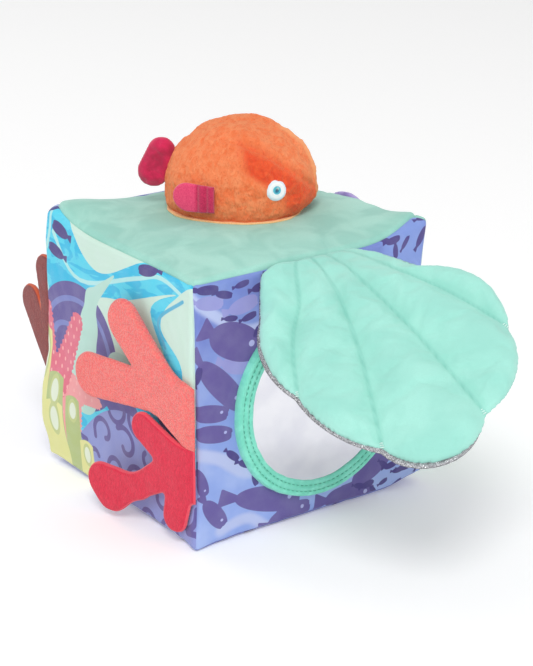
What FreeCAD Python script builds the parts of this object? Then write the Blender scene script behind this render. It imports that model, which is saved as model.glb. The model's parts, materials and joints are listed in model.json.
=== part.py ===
"""Soft baby activity cube with an under-sea theme, as an assembly of separate pieces.

A foam block wears six fabric panels. A plush fish sits on top and works a push-button sound module
in a pocket of the block. The front has a round mirror under a quilted clam-shell flap, the seams
hold felt corals, the right side holds a jellyfish, and the back has a hook-and-loop access flap.
Units are millimetres. +Z is up, and the origin is the centre of the cube's base on the floor.
The mirror faces -Y, the reef panel faces -X.
"""

import FreeCAD, Part
import math
import os

from FreeCAD import Matrix, Vector

# ---- driving dimensions -------------------------------------------------------------------------

CUBE_WIDTH = 150.0  # seam to seam, along X and along Y
CUBE_HEIGHT = 156.0  # floor to the crown of the stuffed top
EDGE_RADIUS = 9.0  # rounding of the stuffed block's edges
COVER = 2.0  # fabric with its bonded fleece backing
GAP = 0.1  # slack between a cover and what it covers

HALF = CUBE_WIDTH / 2

# Mirror on the front face
MIRROR_X = 3.0
MIRROR_Z = 69.0
BEZEL_RADIUS = 56.0
BEZEL_WINDOW = 46.5
BEZEL_WRAP = 2.0
MIRROR_BACKING = 2.0
MIRROR_SHEET = 1.5
BEZEL_FACE = 1.0

# Clam-shell flap, drawn hanging shut and then turned open about a seam that runs uphill to the right
SHELL_X = 7.0
SHELL_TOP = 146.5
SHELL_AXIS_Y = -84.0
SHELL_AXIS_Z = 156.0  # height of the fold line at x = 0
SHELL_AXIS_TILT = 23.5
SHELL_REST_OPEN = 72.0
SHELL_HINGE_HALF = 24.0
SHELL_LINING = 1.2
SHELL_QUILT = 7.0
SHELL_SKIN = 1.3
SHELL_HEM_FRONT = -80.0
SHELL_HEM_Z = 148.6
SHELL_NECK = 1.0  # thickness of the unpadded neck between hem and flap

# Felt corals, each hanging on a vertical seam
FELT = 2.4
CORAL_AXIS_X = -77.0
CORAL_AXIS_Y = -75.0
SALMON_REST = 9.0
RED_REST = 12.0
BROWN_AXIS_X = -75.0
BROWN_AXIS_Y = 77.5
BROWN_REST = 90.0

# Plush fish, drawn with its nose along +X and then turned and moved onto the top panel
FISH_X = 7.0
FISH_Y = 6.0
FISH_HEADING = -42.0
FISH_LENGTH = 86.0
FISH_WIDTH = 66.0
FISH_BELLY_Z = 168.0  # height of the widest place
FISH_RISE = 41.0  # from the widest place up to the back
FISH_FULLNESS = 2.3  # 2 is an ellipsoid, higher is boxier
FISH_PRESS = 2.5
FISH_PLUSH = 2.5
PATCH = 0.8
PATCH_SHARE = 0.98  # size of the base patch against the fish's widest place
FISH_BASE_Z = CUBE_HEIGHT + PATCH + FISH_PRESS + 0.2
EYE_RADIUS = 5.5
EYE_THICKNESS = 0.8
EYE_ALONG = 25.0
EYE_Z = 175.0
FIN_LENGTH = 20.0
FIN_HEIGHT = 15.0
FIN_ROOT_ALONG = -9.0
FIN_Z = 170.0
FIN_THICKNESS = 2.0
FIN_ROOT_HALF = 6.5
FIN_STAND_OFF = 1.0
TAIL_AXIS_ALONG = -46.2
TAIL_Z = 182.0
TAIL_LENGTH = 11.5
TAIL_HEIGHT = 30.0
TAIL_TIP_RADIUS = 9.5
TAIL_THICKNESS = 4.6

# Sound module, a round case in a pocket of the foam under the fish
CASE_RADIUS = 29.0
CASE_WALL = 2.0
CASE_BOTTOM = 119.5
CASE_SPLIT = 137.0
CASE_TOP = 143.5
BUTTON_RADIUS = 8.0
BUTTON_FLANGE = 10.0
BUTTON_PROUD = 2.9
BOARD_TOP = 130.0
BOARD_THICKNESS = 1.2
PLUNGER_RADIUS = 8.0
PLUNGER_TOP = 166.0
RUNNING = 0.05  # slack between two pieces that touch and push
CELL_RADIUS = 5.8
CELL_HEIGHT = 5.4
CELL_PITCH = 12.2
CELL_X = 13.0

# Jellyfish on the right face
JELLY_Y = -1.0
JELLY_AXIS_Z = 121.0
JELLY_RADIUS = 23.0
JELLY_THICKNESS = 10.0
JELLY_LIFT = 1.5
RIBBON_WIDTH = 6.0
RIBBON_LENGTH = 60.0

# Access opening in the back face, with its flap
ACCESS_HALF = 30.5
ACCESS_LOW = 119.0
ACCESS_HIGH = 147.0
ACCESS_FLAP_HALF = 36.0
ACCESS_FLAP_LOW = 103.0
ACCESS_FLAP_THICKNESS = 1.5
TAPE = 0.95
TAPE_WIDTH = 9.0
TAPE_Z = 110.0

X_AXIS = Vector(1, 0, 0)
Y_AXIS = Vector(0, 1, 0)
Z_AXIS = Vector(0, 0, 1)
ORIGIN = Vector(0, 0, 0)

made = {}


def keep(name, shape):
    """Stores a finished piece under the name it is written out with."""
    made[name] = shape
    return shape


# ---- small shape helpers ------------------------------------------------------------------------


def block(x0, x1, y0, y1, z0, z1):
    return Part.makeBox(x1 - x0, y1 - y0, z1 - z0, Vector(x0, y0, z0))


def rounded_block(inset):
    """The stuffed block's outer form, shrunk by inset on every side."""
    half, low, high = HALF - inset, inset, CUBE_HEIGHT - inset
    box = block(-half, half, -half, half, low, high)
    return box.makeFillet(EDGE_RADIUS - inset, box.Edges)


def post(radius, x, y, z0, z1):
    """An upright cylinder."""
    return Part.makeCylinder(radius, z1 - z0, Vector(x, y, z0))


def disc_forward(radius, x, z, y0, y1):
    """A cylinder lying along Y, from y0 to y1."""
    return Part.makeCylinder(radius, y1 - y0, Vector(x, y0, z), Y_AXIS)


def stadium(a, b, radius_a, radius_b):
    """A flat tapered finger in the XY plane, round at both ends."""
    ax, ay = a
    bx, by = b
    length = math.hypot(bx - ax, by - ay)
    turn = math.atan2(by - ay, bx - ax)
    lean = math.acos((radius_a - radius_b) / length)

    def rim(centre, radius, angle):
        return Vector(centre[0] + radius * math.cos(angle), centre[1] + radius * math.sin(angle), 0)

    left_a, left_b = rim(a, radius_a, turn + lean), rim(b, radius_b, turn + lean)
    right_a, right_b = rim(a, radius_a, turn - lean), rim(b, radius_b, turn - lean)
    edges = [
        Part.makeLine(right_a, right_b),
        Part.Arc(right_b, rim(b, radius_b, turn), left_b).toShape(),
        Part.makeLine(left_b, left_a),
        Part.Arc(left_a, rim(a, radius_a, turn + math.pi), right_a).toShape(),
    ]
    return Part.Face(Part.Wire(edges))


def polygon(points):
    corners = [Vector(x, y, 0) for x, y in points]
    return Part.Face(Part.makePolygon(corners + corners[:1]))


def sheet(faces, thickness):
    """Flat faces joined into one sheet of the given thickness, centred on the XY plane."""
    solids = [face.extrude(Vector(0, 0, thickness)) for face in faces]
    whole = solids[0].multiFuse(solids[1:]) if len(solids) > 1 else solids[0]
    whole.translate(Vector(0, 0, -thickness / 2))
    return whole.removeSplitter()


def spring(radius, wire, bottom, top, turns):
    """A round-wire compression spring standing on the XY plane, with its axis on Z."""
    rise = top - bottom - wire
    helix = Part.makeHelix(rise / turns, rise, radius)
    start = Part.Wire(Part.makeCircle(wire / 2, Vector(radius, 0, 0), Y_AXIS))
    coil = Part.Wire(helix.Edges).makePipeShell([start], True, True)
    coil.translate(Vector(0, 0, bottom + wire / 2))
    return coil


# ---- the stuffed cube ---------------------------------------------------------------------------


def face_wedge(direction):
    """The pyramid from the cube's middle out to one face, which cuts that face's panel free."""
    middle = Vector(0, 0, CUBE_HEIGHT / 2)
    corners = [
        Vector(x * HALF, y * HALF, CUBE_HEIGHT * (z + 1) / 2)
        for x in (-1, 1)
        for y in (-1, 1)
        for z in (-1, 1)
    ]
    on_face = [c for c in corners if (c - middle).dot(direction) > HALF - 0.01]
    ring = [on_face[0], on_face[1], on_face[3], on_face[2]]
    sides = [Part.Face(Part.makePolygon([middle, ring[i], ring[(i + 1) % 4], middle])) for i in range(4)]
    base = Part.Face(Part.makePolygon(ring + ring[:1]))
    return Part.Solid(Part.Shell(sides + [base]))


def sound_pocket():
    """The room cut in the foam for the sound module, open to the back face."""
    slack = 0.7
    low, high = CASE_BOTTOM - 0.3, ACCESS_HIGH
    round_end = post(CASE_RADIUS + slack, FISH_X, FISH_Y, low, high)
    slot = block(FISH_X - CASE_RADIUS - slack, FISH_X + CASE_RADIUS + slack, FISH_Y, HALF, low, high)
    shaft = post(PLUNGER_RADIUS + 2, FISH_X, FISH_Y, high - 1, CUBE_HEIGHT)
    return round_end.fuse(slot).fuse(shaft)


def build_cube():
    outer, inner = rounded_block(0.0), rounded_block(COVER)
    cover = outer.cut(inner)
    keep("foam_core", rounded_block(COVER + GAP).cut(sound_pocket()))
    directions = {
        "front_panel": Vector(0, -1, 0),
        "back_panel": Vector(0, 1, 0),
        "reef_panel": Vector(-1, 0, 0),
        "right_panel": Vector(1, 0, 0),
        "top_panel": Vector(0, 0, 1),
        "bottom_panel": Vector(0, 0, -1),
    }
    panels = {name: cover.common(face_wedge(d)) for name, d in directions.items()}
    hole = post(PLUNGER_RADIUS + 2, FISH_X, FISH_Y, CUBE_HEIGHT - 10, CUBE_HEIGHT + 10)
    panels["top_panel"] = panels["top_panel"].cut(hole)
    opening = block(
        FISH_X - ACCESS_HALF, FISH_X + ACCESS_HALF, HALF - 10, HALF + 10, ACCESS_LOW, ACCESS_HIGH
    )
    panels["back_panel"] = panels["back_panel"].cut(opening)
    for name, panel in panels.items():
        keep(name, panel)
    return outer


# ---- mirror -------------------------------------------------------------------------------------


def build_mirror():
    back = -HALF
    sheet_back = back - MIRROR_BACKING
    face_back = sheet_back - MIRROR_SHEET
    front = face_back - BEZEL_FACE
    inside = BEZEL_RADIUS - BEZEL_WRAP
    keep("mirror_backing", disc_forward(inside, MIRROR_X, MIRROR_Z, sheet_back, back))
    keep("mirror_sheet", disc_forward(inside, MIRROR_X, MIRROR_Z, face_back, sheet_back))
    rim = disc_forward(BEZEL_RADIUS, MIRROR_X, MIRROR_Z, front, back)
    hollow = disc_forward(inside, MIRROR_X, MIRROR_Z, face_back, back)
    window = disc_forward(BEZEL_WINDOW, MIRROR_X, MIRROR_Z, front - 1, back)
    keep("mirror_bezel", rim.cut(hollow).cut(window))


# ---- clam-shell flap ----------------------------------------------------------------------------


def shell_outline(inset):
    """The scalloped outline of the hanging flap, as a face in the XZ plane at y = 0.

    Five lobes meet in four notches: one lobe at the tip, and two on each side up to the sewn edge."""
    tip = [((-26.5, 21.5), (26.5, 21.5), (0.0, 2.5))]
    sides = [((26.5, 21.5), (57.5, 66.0), (47.5, 38.5)), ((57.5, 66.0), (24.0, SHELL_TOP), (60.0, 112.0))]
    mirrored = [tuple((-x, z) for x, z in lobe) for lobe in sides]
    edges = []
    for start, end, middle in tip + sides + mirrored:
        a, b, m = (Vector(x, 0, z) for x, z in (start, end, middle))
        edges.append(Part.Arc(a, m, b).toShape())
    left, right = (Vector(side * SHELL_HINGE_HALF, 0, SHELL_TOP) for side in (-1, 1))
    edges.append(Part.makeLine(left, right))
    wire = Part.Wire(Part.__sortEdges__(edges))
    if inset:
        wire = wire.makeOffset2D(-inset, 0, False, False)
    face = Part.Face(wire)
    face.translate(Vector(SHELL_X, 0, 0))
    return face


def open_shell(shape):
    """Turns a piece of the hanging flap to its rest opening about the tilted fold line."""
    tilt = math.radians(SHELL_AXIS_TILT)
    axis = Vector(-math.cos(tilt), 0, -math.sin(tilt))
    shape.rotate(Vector(0, SHELL_AXIS_Y, SHELL_AXIS_Z), axis, SHELL_REST_OPEN)
    return shape


def build_shell(outer):
    inner_face = SHELL_AXIS_Y + SHELL_QUILT / 2
    lining_front = inner_face - SHELL_LINING
    cover_front = inner_face - SHELL_QUILT
    lining = shell_outline(0).extrude(Vector(0, -SHELL_LINING, 0))
    lining.translate(Vector(0, inner_face, 0))
    cover = shell_outline(0).extrude(Vector(0, cover_front - lining_front, 0))
    cover.translate(Vector(0, lining_front, 0))
    pocket_depth = SHELL_QUILT - SHELL_LINING - SHELL_SKIN
    pocket = shell_outline(3.0).extrude(Vector(0, -pocket_depth, 0))
    pocket.translate(Vector(0, lining_front, 0))
    padding = shell_outline(3.0 + GAP).extrude(Vector(0, -(pocket_depth - GAP), 0))
    padding.translate(Vector(0, lining_front, 0))
    keep("shell_lining", open_shell(lining))
    keep("shell_cover", open_shell(cover.cut(pocket)))
    keep("shell_padding", open_shell(padding))
    ends = (SHELL_X - SHELL_HINGE_HALF, SHELL_X + SHELL_HINGE_HALF)
    hem = block(*ends, SHELL_HEM_FRONT, -HALF + 3, SHELL_HEM_Z - 1, SHELL_HEM_Z + 1)
    keep("shell_hem", hem.cut(outer))
    keep("shell_neck", Part.makeLoft([neck_section(x) for x in ends], True, True))


def neck_section(x):
    """One end of the soft neck, from the hem to the open flap's sewn edge, as a thin closed strip."""
    seam = Vector(x, SHELL_HEM_FRONT - 0.3, SHELL_HEM_Z)
    edge = open_shell(Part.Vertex(x, SHELL_AXIS_Y, SHELL_TOP + 0.6)).Point
    across = (edge - seam).cross(X_AXIS).normalize() * (SHELL_NECK / 2)
    corners = [seam + across, edge + across, edge - across, seam - across]
    return Part.makePolygon(corners + corners[:1])


# ---- felt corals --------------------------------------------------------------------------------


def salmon_faces():
    """Two thick fingers on a broad neck. Across is the distance from the seam, up is the height."""
    neck = polygon([(0, 59), (14, 61), (30, 68), (44, 70), (44, 88), (26, 108), (14, 97), (0, 95)])
    upper = stadium((27, 88), (57, 120), 15.5, 11.5)
    lower = stadium((34, 85), (84, 79), 14.5, 12.2)
    return [neck, upper, lower]


def red_faces():
    """Three fingers: one up, one long and hooked, one down."""
    neck = polygon([(0, 26), (14, 26), (26, 31), (27, 42), (14, 56), (0, 56)])
    upper = stadium((14, 47), (37, 60.5), 9.0, 7.0)
    reach = stadium((16, 38), (56, 21), 8.5, 12.5)
    hook = stadium((57, 21), (72, 30), 12.0, 7.5)
    down = stadium((10, 34), (11, 15), 9.5, 8.5)
    return [neck, upper, reach, hook, down]


def brown_faces():
    """Two tall fingers rising from a narrow foot."""
    foot = polygon([(0, 40), (6, 40), (16, 58), (14, 74), (0, 66)])
    upper = stadium((5, 66), (6.5, 115.5), 7.0, 9.5)
    lower = stadium((7, 56), (22, 90), 7.0, 10.5)
    return [foot, upper, lower]


def hang_coral(faces, foot_low, foot_high, axis, facing):
    """A felt coral on its seam. facing is the direction it reaches in, in degrees from +X."""
    felt = sheet(faces, FELT)
    reach = block(-1, 200, -1, 300, -FELT, FELT)
    reach.translate(Vector(1, 1, 0))
    felt = felt.common(reach)
    root = Part.makeCylinder(FELT / 2, foot_high - foot_low, Vector(0, foot_low, 0), Y_AXIS)
    felt = felt.fuse(root).removeSplitter()
    felt.rotate(ORIGIN, X_AXIS, 90)  # up on the sheet becomes +Z
    felt.rotate(ORIGIN, Z_AXIS, facing)
    felt.translate(Vector(axis[0], axis[1], 0))
    return felt


def seam_tab(start, end, low, high):
    """The sewn-in margin of a coral, from the cube's corner seam out to the coral's root."""
    run = Vector(end[0] - start[0], end[1] - start[1], 0)
    length = run.Length - FELT / 2 - 0.6
    tab = block(-2, length, -0.6, 0.6, low, high)
    tab.rotate(ORIGIN, Z_AXIS, math.degrees(math.atan2(run.y, run.x)))
    tab.translate(Vector(start[0], start[1], 0))
    return tab


def build_corals(outer):
    near_axis = (CORAL_AXIS_X, CORAL_AXIS_Y)
    far_axis = (BROWN_AXIS_X, BROWN_AXIS_Y)
    keep("coral_salmon", hang_coral(salmon_faces(), 59, 95, near_axis, 90 + SALMON_REST))
    keep("coral_red", hang_coral(red_faces(), 26, 56, near_axis, 90 + RED_REST))
    keep("coral_brown", hang_coral(brown_faces(), 40, 66, far_axis, BROWN_REST))
    corner = HALF - EDGE_RADIUS * (1 - math.sqrt(0.5))
    tabs = [
        seam_tab((-corner, -corner), near_axis, 60, 94),
        seam_tab((-corner, -corner), near_axis, 27, 55),
        seam_tab((-corner, corner), far_axis, 41, 65),
    ]
    keep("coral_seam_margins", Part.makeCompound([tab.cut(outer) for tab in tabs]))


# ---- plush fish ---------------------------------------------------------------------------------


def place_fish(shape):
    """Moves a piece drawn nose-first along +X onto its place on the top panel."""
    shape.rotate(ORIGIN, Z_AXIS, FISH_HEADING)
    shape.translate(Vector(FISH_X, FISH_Y, 0))
    return shape


def fish_girth(rise):
    """The body's size at a share of its rise, as a share of its size at the widest place."""
    return (1 - abs(rise) ** FISH_FULLNESS) ** (1 / FISH_FULLNESS)


def fish_form(offset):
    """The fish's rounded body, grown by offset on every side: a curve turned round and stretched."""
    steps = 10
    profile = [Vector(1, 0, 0)]
    for i in range(1, steps):
        angle = math.pi / 2 * i / steps
        power = 2 / FISH_FULLNESS
        profile.append(Vector(math.cos(angle) ** power, 0, math.sin(angle) ** power))
    profile.append(Vector(0, 0, 1))
    back = Part.BSplineCurve()
    back.interpolate(profile)
    edges = [
        back.toShape(),
        Part.makeLine(Vector(0, 0, 1), Vector(0, 0, -0.5)),
        Part.makeLine(Vector(0, 0, -0.5), Vector(1, 0, -0.5)),
        Part.makeLine(Vector(1, 0, -0.5), Vector(1, 0, 0)),
    ]
    form = Part.Face(Part.Wire(edges)).revolve(ORIGIN, Z_AXIS, 360)
    grow = Matrix()
    grow.scale(FISH_LENGTH / 2 + offset, FISH_WIDTH / 2 + offset, FISH_RISE + offset)
    form = form.transformGeometry(grow)
    form.translate(Vector(0, 0, FISH_BELLY_Z))
    return form


def fish_side(along, z):
    """Distance from the fish's midline to its side, at a place along it and a height."""
    girth = fish_girth((z - FISH_BELLY_Z) / FISH_RISE)
    return FISH_WIDTH / 2 * math.sqrt(girth**2 - (along / (FISH_LENGTH / 2)) ** 2)


def fish_normal(along, side):
    """The outward direction of the body's surface at a point on it, taken level."""
    return Vector(along / (FISH_LENGTH / 2) ** 2, side / (FISH_WIDTH / 2) ** 2, 0).normalize()


def fish_fin(side):
    """A felt fin lying along one flank. It is sewn by its front edge, and its free end points back."""
    middle = FIN_ROOT_ALONG - FIN_LENGTH / 2
    touch = Vector(middle, side * fish_side(middle, FIN_Z), FIN_Z)
    out = fish_normal(touch.x, touch.y)
    forward = Vector(out.y, -out.x, 0) * side
    oval = stadium((-FIN_HEIGHT / 2 + 4, 0), (-FIN_LENGTH + FIN_HEIGHT / 2, 0), 4.0, FIN_HEIGHT / 2)
    wide_at = -FIN_LENGTH + FIN_HEIGHT / 2
    widest = FIN_HEIGHT / 2 - 0.1
    web = polygon([(wide_at, -widest), (0, -FIN_ROOT_HALF), (0, FIN_ROOT_HALF), (wide_at, widest)])
    fin = sheet([oval, web], FIN_THICKNESS)
    root = Part.makeCylinder(FIN_THICKNESS / 2, 2 * FIN_ROOT_HALF, Vector(0, -FIN_ROOT_HALF, 0), Y_AXIS)
    fin = fin.fuse(root).removeSplitter()
    fin.rotate(ORIGIN, X_AXIS, 90)
    fin.rotate(ORIGIN, Z_AXIS, math.degrees(math.atan2(forward.y, forward.x)))
    fin.translate(touch + out * (FIN_THICKNESS / 2 + FIN_STAND_OFF) + forward * (FIN_LENGTH / 2))
    return fin


def build_fish():
    above = block(-200, 200, -200, 200, FISH_BASE_Z, 400)
    outer = fish_form(0).common(above)
    lining = fish_form(-FISH_PLUSH).common(above)
    chamber = post(PLUNGER_RADIUS, 0, 0, FISH_BASE_Z - 1, PLUNGER_TOP)
    keep("fish_skin", place_fish(outer.cut(lining)))
    keep("fish_stuffing", place_fish(fish_form(-FISH_PLUSH - GAP).common(above).cut(chamber)))
    press_face = CASE_TOP + BUTTON_PROUD + RUNNING
    keep("fish_plunger", place_fish(post(PLUNGER_RADIUS, 0, 0, press_face, PLUNGER_TOP)))
    oval = Part.makeCylinder(1.0, PATCH)
    grow = Matrix()
    grow.scale(FISH_LENGTH / 2 * PATCH_SHARE, FISH_WIDTH / 2 * PATCH_SHARE, 1)
    patch = oval.transformGeometry(grow)
    patch.translate(Vector(0, 0, CUBE_HEIGHT))
    patch = patch.cut(post(PLUNGER_RADIUS + 2, 0, 0, CUBE_HEIGHT - 1, CUBE_HEIGHT + 2))
    keep("fish_base_patch", place_fish(patch))
    skin = fish_form(EYE_THICKNESS).cut(fish_form(0.02))
    for name, side in (("fish_eye_left", 1), ("fish_eye_right", -1)):
        at = Vector(EYE_ALONG, side * fish_side(EYE_ALONG, EYE_Z), EYE_Z)
        out = fish_normal(at.x, at.y)
        plug = Part.makeCylinder(EYE_RADIUS, 8, at - out * 4, out)
        keep(name, place_fish(skin.common(plug)))
    for name, side in (("fish_fin_left", 1), ("fish_fin_right", -1)):
        keep(name, place_fish(fish_fin(side)))
    tail = stadium((1, -6), (-TAIL_LENGTH + TAIL_TIP_RADIUS, 5), 7.5, TAIL_TIP_RADIUS)
    tail = tail.extrude(Vector(0, 0, TAIL_THICKNESS))
    tail.translate(Vector(0, 0, -TAIL_THICKNESS / 2))
    tail = tail.common(block(-60, 0, -TAIL_HEIGHT, TAIL_HEIGHT, -5, 5))
    root = Part.makeCylinder(TAIL_THICKNESS / 2, 11, Vector(0, -11.5, 0), Y_AXIS)
    tail = tail.fuse(root).removeSplitter()
    tail.rotate(ORIGIN, X_AXIS, 90)
    tail.translate(Vector(TAIL_AXIS_ALONG, 0, TAIL_Z))
    keep("fish_tail", place_fish(tail))


# ---- sound module -------------------------------------------------------------------------------


def at_module(shape):
    shape.translate(Vector(FISH_X, FISH_Y, 0))
    return shape


def screw(x, y, z, head_radius, shank_radius, length, head_height):
    """A pan-head screw driven upward from z, with a cross recess in its head."""
    head = post(head_radius, x, y, z, z + head_height)
    shank = post(shank_radius, x, y, z + head_height, z + head_height + length)
    slot = 0.35
    reach = head_radius * 0.6
    cross = block(x - reach, x + reach, y - slot, y + slot, z - 1, z + head_height / 2)
    cross = cross.fuse(block(x - slot, x + slot, y - reach, y + reach, z - 1, z + head_height / 2))
    return head.fuse(shank).cut(cross)


def wire_run(points, radius):
    """An insulated wire through the given points."""
    curve = Part.BSplineCurve()
    curve.interpolate([Vector(*p) for p in points])
    path = Part.Wire(curve.toShape())
    start = Vector(*points[0])
    ring = Part.Wire(Part.makeCircle(radius, start, curve.tangent(curve.FirstParameter)[0]))
    return path.makePipeShell([ring], True, True)


def screw_places():
    """Where the three case screws stand, clear of the battery bay and the speaker."""
    out = CASE_RADIUS - 5.2
    angles = [math.radians(angle) for angle in (90, 213, 270)]
    return [(out * math.cos(angle), out * math.sin(angle)) for angle in angles]


def build_module():
    inside = CASE_RADIUS - CASE_WALL
    floor_top = CASE_BOTTOM + CASE_WALL
    roof = CASE_TOP - CASE_WALL
    board_bottom = BOARD_TOP - BOARD_THICKNESS

    # Lower case: floor with a battery opening, wall, screw bosses and board ledge
    door_half_x, door_half_y = 7.0, 22.0
    door = (CELL_X - door_half_x, CELL_X + door_half_x, -door_half_y, door_half_y)
    lower = post(CASE_RADIUS, 0, 0, CASE_BOTTOM, CASE_SPLIT).cut(post(inside, 0, 0, floor_top, CASE_SPLIT))
    bosses = [post(2.6, x, y, floor_top, board_bottom) for x, y in screw_places()]
    lower = lower.multiFuse(bosses)
    for x, y in screw_places():
        lower = lower.cut(post(1.25, x, y, CASE_BOTTOM - 1, board_bottom + 1))
        lower = lower.cut(post(2.3, x, y, CASE_BOTTOM - 1, CASE_BOTTOM + 1.4))
    lower = lower.cut(block(*door, CASE_BOTTOM - 1, floor_top + 1))
    speaker_holes = [
        post(0.8, -14 + r * math.cos(a), r * math.sin(a), CASE_BOTTOM - 1, floor_top + 1)
        for r, count in ((0.0, 1), (3.2, 6), (6.4, 12))
        for a in (2 * math.pi * i / count for i in range(count))
    ]
    for hole in speaker_holes:
        lower = lower.cut(hole)
    keep("sound_case_lower", at_module(lower.removeSplitter()))

    # Upper case: roof with the button hole, wall, and the posts that the screws bite
    upper = post(CASE_RADIUS, 0, 0, CASE_SPLIT, CASE_TOP).cut(post(inside, 0, 0, CASE_SPLIT - 1, roof))
    posts = [post(2.6, x, y, BOARD_TOP, roof) for x, y in screw_places()]
    upper = upper.multiFuse(posts)
    for x, y in screw_places():
        upper = upper.cut(post(1.0, x, y, BOARD_TOP - 1, BOARD_TOP + 7.0))
    upper = upper.cut(post(BUTTON_RADIUS + 0.3, 0, 0, roof - 1, CASE_TOP + 1))
    keep("sound_case_upper", at_module(upper.removeSplitter()))

    case_screws = [
        screw(x, y, CASE_BOTTOM, 2.1, 0.98, 15.4, 1.3) for x, y in screw_places()
    ]
    keep("case_screws", at_module(Part.makeCompound(case_screws)))

    # Battery door, held by one screw at its end
    slack = 0.15
    lid = block(
        door[0] + slack, door[1] - slack, door[2] + slack, door[3] - slack, CASE_BOTTOM, floor_top
    )
    lid_screw_y = 19.6
    lid = lid.cut(post(0.9, CELL_X, lid_screw_y, CASE_BOTTOM - 1, floor_top + 1))
    lid = lid.cut(post(1.9, CELL_X, lid_screw_y, CASE_BOTTOM - 1, CASE_BOTTOM + 1.1))
    ribs = [
        block(CELL_X - 4, CELL_X + 4, y - 0.3, y + 0.3, CASE_BOTTOM - 1, CASE_BOTTOM + 0.5)
        for y in (-18, -16, -14)
    ]
    for rib in ribs:
        lid = lid.cut(rib)
    keep("battery_door", at_module(lid))
    keep(
        "battery_door_screw",
        at_module(screw(CELL_X, lid_screw_y, CASE_BOTTOM + 0.05, 1.8, 0.85, 3.0, 1.0)),
    )

    # Three button cells in a row, with a contact plate over them and a link under them
    cell_floor = floor_top + 0.3
    places = [(CELL_X, (i - 1) * CELL_PITCH) for i in range(3)]
    cells = []
    for x, y in places:
        can = post(CELL_RADIUS, x, y, cell_floor, cell_floor + CELL_HEIGHT - 0.6)
        cap = post(CELL_RADIUS - 1, x, y, cell_floor + CELL_HEIGHT - 0.6, cell_floor + CELL_HEIGHT)
        cells.append(can.fuse(cap))
    keep("button_cells", at_module(Part.makeCompound(cells)))
    contact_low = cell_floor + CELL_HEIGHT + 0.02
    under = floor_top + 0.28
    contacts = [
        block(CELL_X - 3, CELL_X + 3, -15.5, -9.0, contact_low, contact_low + 0.3),
        block(CELL_X - 3, CELL_X + 3, -3.0, 15.5, contact_low, contact_low + 0.3),
        block(CELL_X - 3, CELL_X + 3, -15.0, 3.0, floor_top + 0.02, under),
        block(CELL_X - 3, CELL_X + 3, 9.0, 15.0, floor_top + 0.02, under),
    ]
    keep("battery_contacts", at_module(Part.makeCompound(contacts)))

    # Circuit board with the parts on it
    board = post(inside - 0.3, 0, 0, board_bottom, BOARD_TOP)
    for x, y in screw_places():
        board = board.cut(post(1.3, x, y, board_bottom - 1, BOARD_TOP + 1))
    keep("circuit_board", at_module(board))
    keep("sound_chip", at_module(post(4.2, -15, 9, BOARD_TOP, BOARD_TOP + 1.4)))
    switch = block(-3, 3, -3, 3, BOARD_TOP, BOARD_TOP + 3.3)
    button_low = roof - 4.0
    pressed = button_low - FISH_PRESS
    plunger = post(1.6, 0, 0, BOARD_TOP + 3.2, pressed - RUNNING)
    keep("press_switch", at_module(switch.fuse(plunger)))

    # Speaker under the board
    cone = post(10, -14, 0, floor_top + 0.1, floor_top + 2.0)
    magnet = post(5, -14, 0, floor_top + 2.0, floor_top + 5.2)
    keep("speaker", at_module(cone.fuse(magnet)))
    leads = [
        wire_run([(-14 + s, 5.4, floor_top + 3.0), (-12 + s, 10.5, floor_top + 4.2),
                  (-8 + s, 14.0, board_bottom - 0.45)], 0.4)
        for s in (-1.2, 1.2)
    ]
    keep("speaker_leads", at_module(Part.makeCompound(leads)))

    # Push button with its flange under the roof, and its return spring
    flange = post(BUTTON_FLANGE, 0, 0, button_low, button_low + 1.5)
    cap = post(BUTTON_RADIUS, 0, 0, button_low, CASE_TOP + BUTTON_PROUD)
    cap = cap.makeFillet(1.0, [cap.Edges[0]])
    keep("sound_button", at_module(flange.fuse(cap)))
    coil = spring(6.4, 0.8, BOARD_TOP + 0.02, button_low - 0.02, 3.0)
    keep("button_spring", at_module(coil))


# ---- jellyfish on the right face ----------------------------------------------------------------


def build_jellyfish():
    x0 = HALF + JELLY_LIFT
    dome = Part.makeCylinder(JELLY_RADIUS, JELLY_THICKNESS, Vector(x0, JELLY_Y, JELLY_AXIS_Z + 11), X_AXIS)
    skirt = block(x0, x0 + JELLY_THICKNESS, JELLY_Y - JELLY_RADIUS, JELLY_Y + JELLY_RADIUS,
                  JELLY_AXIS_Z + 1, JELLY_AXIS_Z + 11)
    above = block(x0 - 1, x0 + 40, JELLY_Y - 60, JELLY_Y + 60, JELLY_AXIS_Z + 1, JELLY_AXIS_Z + 80)
    bell = dome.common(above).fuse(skirt).removeSplitter()
    rims = [e for e in bell.Edges if e.BoundBox.XLength < 0.01 and e.BoundBox.XMin > x0 + 1
            and e.BoundBox.ZMax > JELLY_AXIS_Z + 2]
    bell = bell.makeFillet(4.0, rims)
    keep("jellyfish_bell", bell)
    ribbons = []
    for i in range(4):
        y = JELLY_Y - 15 + 10 * i
        length = RIBBON_LENGTH - (6 if i in (0, 3) else 0)
        ribbons.append(
            block(x0 + 0.5, x0 + 1.5, y - RIBBON_WIDTH / 2, y + RIBBON_WIDTH / 2,
                  JELLY_AXIS_Z - 2 - length, JELLY_AXIS_Z - 2)
        )
    keep("jellyfish_ribbons", Part.makeCompound(ribbons))
    hem = block(HALF, x0 + 0.1, JELLY_Y - 20, JELLY_Y + 20, JELLY_AXIS_Z - 1.2, JELLY_AXIS_Z + 0.2)
    keep("jellyfish_hem", hem)


# ---- access flap on the back face ---------------------------------------------------------------


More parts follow.
